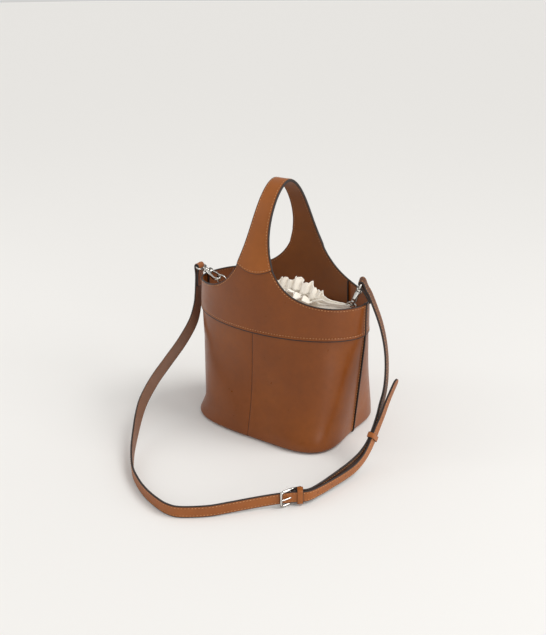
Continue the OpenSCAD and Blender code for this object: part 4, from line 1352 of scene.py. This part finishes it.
# short strap from the sliding keeper up to the right eye
RIGHT = [
    [174.0, -41, 50.5, 1, 0.04, 0], [173.4, -33, 60, 1, 0.06, 0.02],
    [172.6, -25.5, 72, 1, 0.1, 0.02], [172.6, -18, 86, 0.99, 0.15, 0.02],
    [171.2, -11.5, 103, 0.98, 0.2, 0.06], [166.4, -3, 124.5, 0.97, 0.24, 0.12],
    [160.8, 2.6, 143, 0.96, 0.26, 0.2], [154.2, 5.6, 162, 0.94, 0.25, 0.3],
    [146.6, 6.6, 180.5, 0.9, 0.22, 0.4]]

# buckle: where the long strap passes it, and the frame set 25 degrees to the strap
BUCKLE = np.array([138, -198.5, 11.4])
BUCKLE_ALONG = unit([0.70, 0.714, 0.0])
BUCKLE_OUT = np.array([BUCKLE_ALONG[1], -BUCKLE_ALONG[0], 0])
BUCKLE_TURN = math.radians(25)
FRAME_WAY = unit(-math.cos(BUCKLE_TURN) * BUCKLE_ALONG + math.sin(BUCKLE_TURN) * BUCKLE_OUT)
BUCKLE_BAR = BUCKLE - 0.5 * BUCKLE_OUT - 9.5 * FRAME_WAY
FOLD_ALONG = unit(0.97 * BUCKLE_ALONG - 0.1 * BUCKLE_OUT)
FOLD_OUT = unit(np.cross(FOLD_ALONG, [0, 0, 1]))
FOLD_R = 1.3 + 0.16 + 1.15

at_buckle = [[*(BUCKLE + ahead * BUCKLE_ALONG), *BUCKLE_OUT] for ahead in (-9.5, 0, 5)]
LONG = spline(np.vstack([eye_wrap(-1), LEFT, at_buckle, shift(SHARED, LONG_GAPS), TIP]))
fold = wrap(BUCKLE_BAR, FOLD_ALONG, FOLD_OUT, FOLD_R,
            [(10.5, -3.0), (8, -3.0), (5, -2.75), (0.5, -FOLD_R)], [(0.8, FOLD_R)])
SHORT = spline(np.vstack([fold, shift(SHARED, [-gap for gap in SHORT_GAPS]), RIGHT,
                          eye_wrap(1)[::-1]]))


# ---------------------------------------------------------------- strap leather
def strap_section():
    """Rows of: across -1..1, through -1..1, face (0 out, 1 in, 2 edge)."""
    out = [(0.985, 0.80), (0.95, 0.93), (0.88, 1.0), (0.78, 1.02), (0.66, 0.99), (0.5, 1.03),
           (0.25, 1.06)]
    under = [(0.985, -0.80), (0.95, -0.93), (0.86, -1.0), (0.5, -1.0)]
    rows = [(-a, b, 0) for a, b in out] + [(0, 1.07, 0)] + [(a, b, 0) for a, b in out[::-1]]
    rows += [(1.0, 0.35, 2), (1.0, -0.35, 2)]
    rows += [(a, b, 1) for a, b in under] + [(0, -1.0, 1)] + [(-a, b, 1) for a, b in under[::-1]]
    return rows + [(-1.0, -0.35, 2), (-1.0, 0.35, 2)]


def ribbon(name, course, mats, round_end=False, **about):
    """Strap along a course. Gives points, distances, directions, normals and across."""
    known = distances(course[:, :3])
    run = np.linspace(0, known[-1], int(known[-1] / 1.3))
    course = interp_columns(run, known, course)
    points, normals = course[:, :3], course[:, 3:]
    along = unit(np.gradient(points, axis=0))
    normals = unit(normals - (normals * along).sum(1, keepdims=True) * along)
    across = np.cross(along, normals)
    section = strap_section()
    end_r = STRAP_W / 2
    loops = []
    for i in range(len(points)):
        left = run[-1] - run[i]
        narrow = 1.0
        if round_end and left < end_r:
            narrow = math.sqrt(max(0.02, 1 - ((end_r - left) / 7.6) ** 2))
        loops.append([points[i] + a * STRAP_W / 2 * narrow * across[i]
                      + b * (STRAP_T / 2) * normals[i] for a, b, _ in section])
    index_of = []
    for here, there in zip(section, section[1:] + section[:1]):
        at_edge = 2 in (here[2], there[2]) or min(abs(here[0]), abs(there[0])) > 0.87
        index_of.append(2 if at_edge else here[2])
    loft(name, loops, mats, index_of=index_of,
         edge=[(1 - abs(a)) * STRAP_W / 2 for a, _, _ in section],
         body="strap", slot="strap_leather", **about)
    return points, run, along, normals, across


def strap_thread(name, points, normals, across):
    """Thread along both edges, outside and inside."""
    for sign, tag in ((-1, "a"), (1, "b")):
        path = points + across * sign * (STRAP_W / 2 - 2.5)
        stitches(f"{name}_thread_out_{tag}", path + normals * 1.3, normals, body="strap",
                 radius=0.4, slot="strap_leather")
        stitches(f"{name}_thread_in_{tag}", path - normals * 1.32, -normals, body="strap",
                 radius=0.34, material=THREAD_DARK, slot="strap_leather")


def holes(name, points, normals, along, lift):
    """Dark discs with a raised lip, one at each point: painted shade that stands for the inside
    of a punched hole.
    """
    radius, sides = 0.85, 20
    # radius, height
    rings = ((radius + 0.30, 0.0), (radius + 0.14, 0.07), (radius, 0.05),
             (radius * 0.9, -0.04), (0.01, -0.04))
    cos, sin = (v[:, None] for v in circle(sides))
    verts, faces = [], []
    for i in range(len(points)):
        across = np.cross(normals[i], along[i])
        for r, height in rings:
            verts.append(points[i] + r * cos * along[i] + r * sin * across
                         + normals[i] * (lift + height))
        for k in range(len(rings) - 1):
            a = (i * len(rings) + k) * sides
            for j in range(sides):
                b = (j + 1) % sides
                faces.append((a + j, a + b, a + sides + b, a + sides + j))
    make(name, np.concatenate(verts), faces, [HOLE_PAINTED_SHADE], body="strap", recalc=False)


long_points, long_run, long_along, long_normals, long_across = ribbon(
    "strap_long_leather", LONG, [STRAP, STRAP_BACK, EDGE], round_end=True,
    replaces="strap_long")
# the short strap's outer face takes the darker strap leather as painted shade
short_points, _, _, short_normals, short_across = ribbon(
    "strap_short_leather", SHORT, [STRAP_PAINTED_SHADE, STRAP_BACK, EDGE], replaces="strap_short")
strap_thread("strap_long", long_points[26:-8], long_normals[26:-8], long_across[26:-8])
strap_thread("strap_short", short_points[16:-26], short_normals[16:-26],
             short_across[16:-26])

# punched adjusting holes, by distance from the free end
hole_at = [np.argmin(np.abs(long_run - (long_run[-1] - back_from_tip)))
           for back_from_tip in (30, 55, 80, 130, 155, 180, 205)]
holes("strap_holes_out", long_points[hole_at], long_normals[hole_at], long_along[hole_at],
      lift=STRAP_T / 2 * 1.07)
holes("strap_holes_in", long_points[hole_at], -long_normals[hole_at], long_along[hole_at],
      lift=STRAP_T / 2)


# ---------------------------------------------------------------- buckle
def buckle():
    """Frame and prong. The frame's x runs from the bar, y is down, z is out."""
    length, half, far_r, bar_r = 19, 9.5, 3.0, 1.2
    up = np.array([0, 0, 1.0])
    matrix = np.eye(4)
    matrix[:3] = np.stack([FRAME_WAY, -up, np.cross(up, FRAME_WAY), BUCKLE_BAR], 1)
    outline = np.concatenate([
        arc(length - far_r, half - far_r, far_r, 0, 90, 9),
        arc(bar_r, half - bar_r, bar_r, 90, 180, 9),
        arc(bar_r, bar_r - half, bar_r, 180, 270, 9),
        arc(length - far_r, far_r - half, far_r, 270, 360, 9)])
    points = resample_closed(np.c_[outline, np.zeros(len(outline))], 0.8)
    x = points[:, 0]
    points[:, 2] += 0.5 * np.sin(np.pi * clamp01(x / length))
    tube("buckle_frame_wire", transform(matrix, points), 1.25 + 0.40 * clamp01((x - 3) / 5),
         [NICKEL], closed=True, sides=18, up=tuple(matrix[:3, 2]), body="strap",
         slot="nickel", replaces="buckle_frame")
    # prong: x, z, from its curl round the bar to its point on the frame
    prong = np.array([
        (-1.6, 1.6), (-2.2, 0.2), (-1.6, -1.5), (0, -2.2), (1.6, -1.5), (2.3, 0.2),
        (2.6, 1.6), (5.5, 2.6), (9.5, 3.1), (14, 2.9), (17.5, 2.55), (19.6, 2.1),
        (20.6, 1.5)])
    path = spline(np.insert(prong, 1, 0, axis=1), 6)
    radius = np.interp(np.linspace(0, 1, len(path)), [0, 0.05, 0.5, 0.9, 0.98, 1],
                       [0.4, 0.95, 1.05, 0.9, 0.7, 0.3])
    tube("buckle_prong_wire", transform(matrix, path), radius, [NICKEL], body="prong",
         slot="nickel", replaces="buckle_prong")


buckle()


# ---------------------------------------------------------------- keepers
def keeper(name, centre, along, out, depth, body):
    """Leather band with painted edges, round both straps."""
    length, height = 7, STRAP_W + 0.9
    across = np.cross(along, out)
    # along (share of the length), outward, face (0 out, 1 in, 2 edge)
    section = ((-0.5, 0.55, 0), (-0.44, 0.7, 0), (0, 0.76, 0), (0.44, 0.7, 0),
               (0.5, 0.55, 2), (0.52, 0, 2), (0.5, -0.5, 1), (0.4, -0.62, 1),
               (-0.4, -0.62, 1), (-0.5, -0.5, 2), (-0.52, 0, 2))
    points, outward = round_rect(depth / 2 + 0.7, height / 2 + 0.7, 1.6)
    loops = [[centre + along * (s * length) + out * (x + out_x * t) + across * (y + out_y * t)
              for s, t, _ in section]
             for (x, y), (out_x, out_y) in zip(points, outward)]
    index_of = [here[2] if here[2] == there[2] else 2
                for here, there in zip(section, section[1:] + section[:1])]
    loft(f"{name}_band", loops, [STRAP, STRAP_BACK, EDGE], closed=True, index_of=index_of,
         edge=FAR, body=body, slot="strap_leather", replaces=name)


def square_to(v, along):
    """The part of v square to a direction, at unit length."""
    return unit(v - (v @ along) * along)


run_way = unit(SHARED[1][:3] - SHARED[0][:3])
fixed_along = unit(run_way + 0.25 * square_to(SHARED[0][3:], run_way))
fixed_out = square_to(SHARED[0][3:], fixed_along)
keeper("keeper_fixed", SHARED[0][:3] + 2.4 * run_way - 1.58 * fixed_out, fixed_along,
       fixed_out, depth=8.9, body="strap")
slide_along = unit(SHARED[9][:3] - SHARED[8][:3])
keeper("keeper_sliding", (SHARED[8][:3] + SHARED[9][:3]) / 2, slide_along,
       square_to(SHARED[8][3:], slide_along), depth=6.6, body="sliding_keeper")

# ---------------------------------------------------------------- floor, lights, camera (m)
scene = bpy.context.scene


def floor():
    half, z = 60.0, -0.0004
    mesh = bpy.data.meshes.new("floor")
    mesh.from_pydata([(-half, -half, z), (half, -half, z), (half, half, z), (-half, half, z)],
                     [], [(0, 1, 2, 3)])
    mesh.materials.append(Shader("floor_plain", {
        "Base Color": srgb(236, 235, 233), "Roughness": 0.9,
        "Specular IOR Level": 0.1}).material)
    thing = bpy.data.objects.new("floor", mesh)
    scene.collection.objects.link(thing)


def world():
    studio = bpy.data.worlds.new("studio")
    scene.world = studio
    studio.use_nodes = True
    tree = studio.node_tree
    tree.nodes.clear()
    background = tree.nodes.new("ShaderNodeBackground")
    background.inputs["Color"].default_value = (1.0, 0.99, 0.972, 1)
    background.inputs["Strength"].default_value = 0.635
    output = tree.nodes.new("ShaderNodeOutputWorld")
    tree.links.new(background.outputs[0], output.inputs[0])


def place_light(light, facing_from, location=(0, 0, 0)):
    """Adds a light whose back points along `facing_from`."""
    thing = bpy.data.objects.new(light.name, light)
    thing.location = location
    thing.rotation_euler = facing_from.to_track_quat("Z", "Y").to_euler()
    scene.collection.objects.link(thing)


def sun(name, azimuth, elevation, strength, angle, color):
    """Sun; azimuth in degrees from +Y towards +X."""
    light = bpy.data.lights.new(name, "SUN")
    light.energy, light.angle, light.color = strength, math.radians(angle), color
    turn, rise = math.radians(azimuth), math.radians(elevation)
    place_light(light, Vector((math.sin(turn) * math.cos(rise),
                               math.cos(turn) * math.cos(rise), math.sin(rise))))


def softbox(name, location, aim, size, power):
    light = bpy.data.lights.new(name, "AREA")
    light.shape = "RECTANGLE"
    light.size, light.size_y = size
    light.energy = power
    place_light(light, Vector(location) - Vector(aim), location)


def camera():
    lens = bpy.data.cameras.new("camera")
    lens.lens = 46.85
    lens.sensor_width = 36.0
    lens.clip_end = 500
    thing = bpy.data.objects.new("camera", lens)
    right = Vector((0.8298, 0.5581, -0.0071))
    up = Vector((-0.1984, 0.3069, 0.9308))
    forward = Vector((-0.5217, 0.7709, -0.3654))
    turn = Matrix((right, up, -forward)).transposed().to_4x4()
    thing.matrix_world = Matrix.Translation(Vector((0.59788, -0.90641, 0.57473))) @ turn
    scene.collection.objects.link(thing)
    scene.camera = thing


floor()
scene.view_settings.view_transform = "Standard"
scene.view_settings.look = "None"
world()
sun("key", azimuth=62, elevation=56, strength=1.22, angle=30, color=(1.0, 0.985, 0.96))
softbox("soft_left", location=(-1.5, -1.0, 0.9), aim=(0, 0, 0.12), size=(0.4, 1.6), power=3.6)
softbox("soft_right", location=(1.7, 0.3, 0.8), aim=(0, 0, 0.10), size=(0.8, 1.2), power=6.5)
softbox("soft_corner", location=(1.7, -1.05, 0.42), aim=(0.08, -0.09, 0.04),
        size=(0.45, 0.40), power=5.0)
camera()
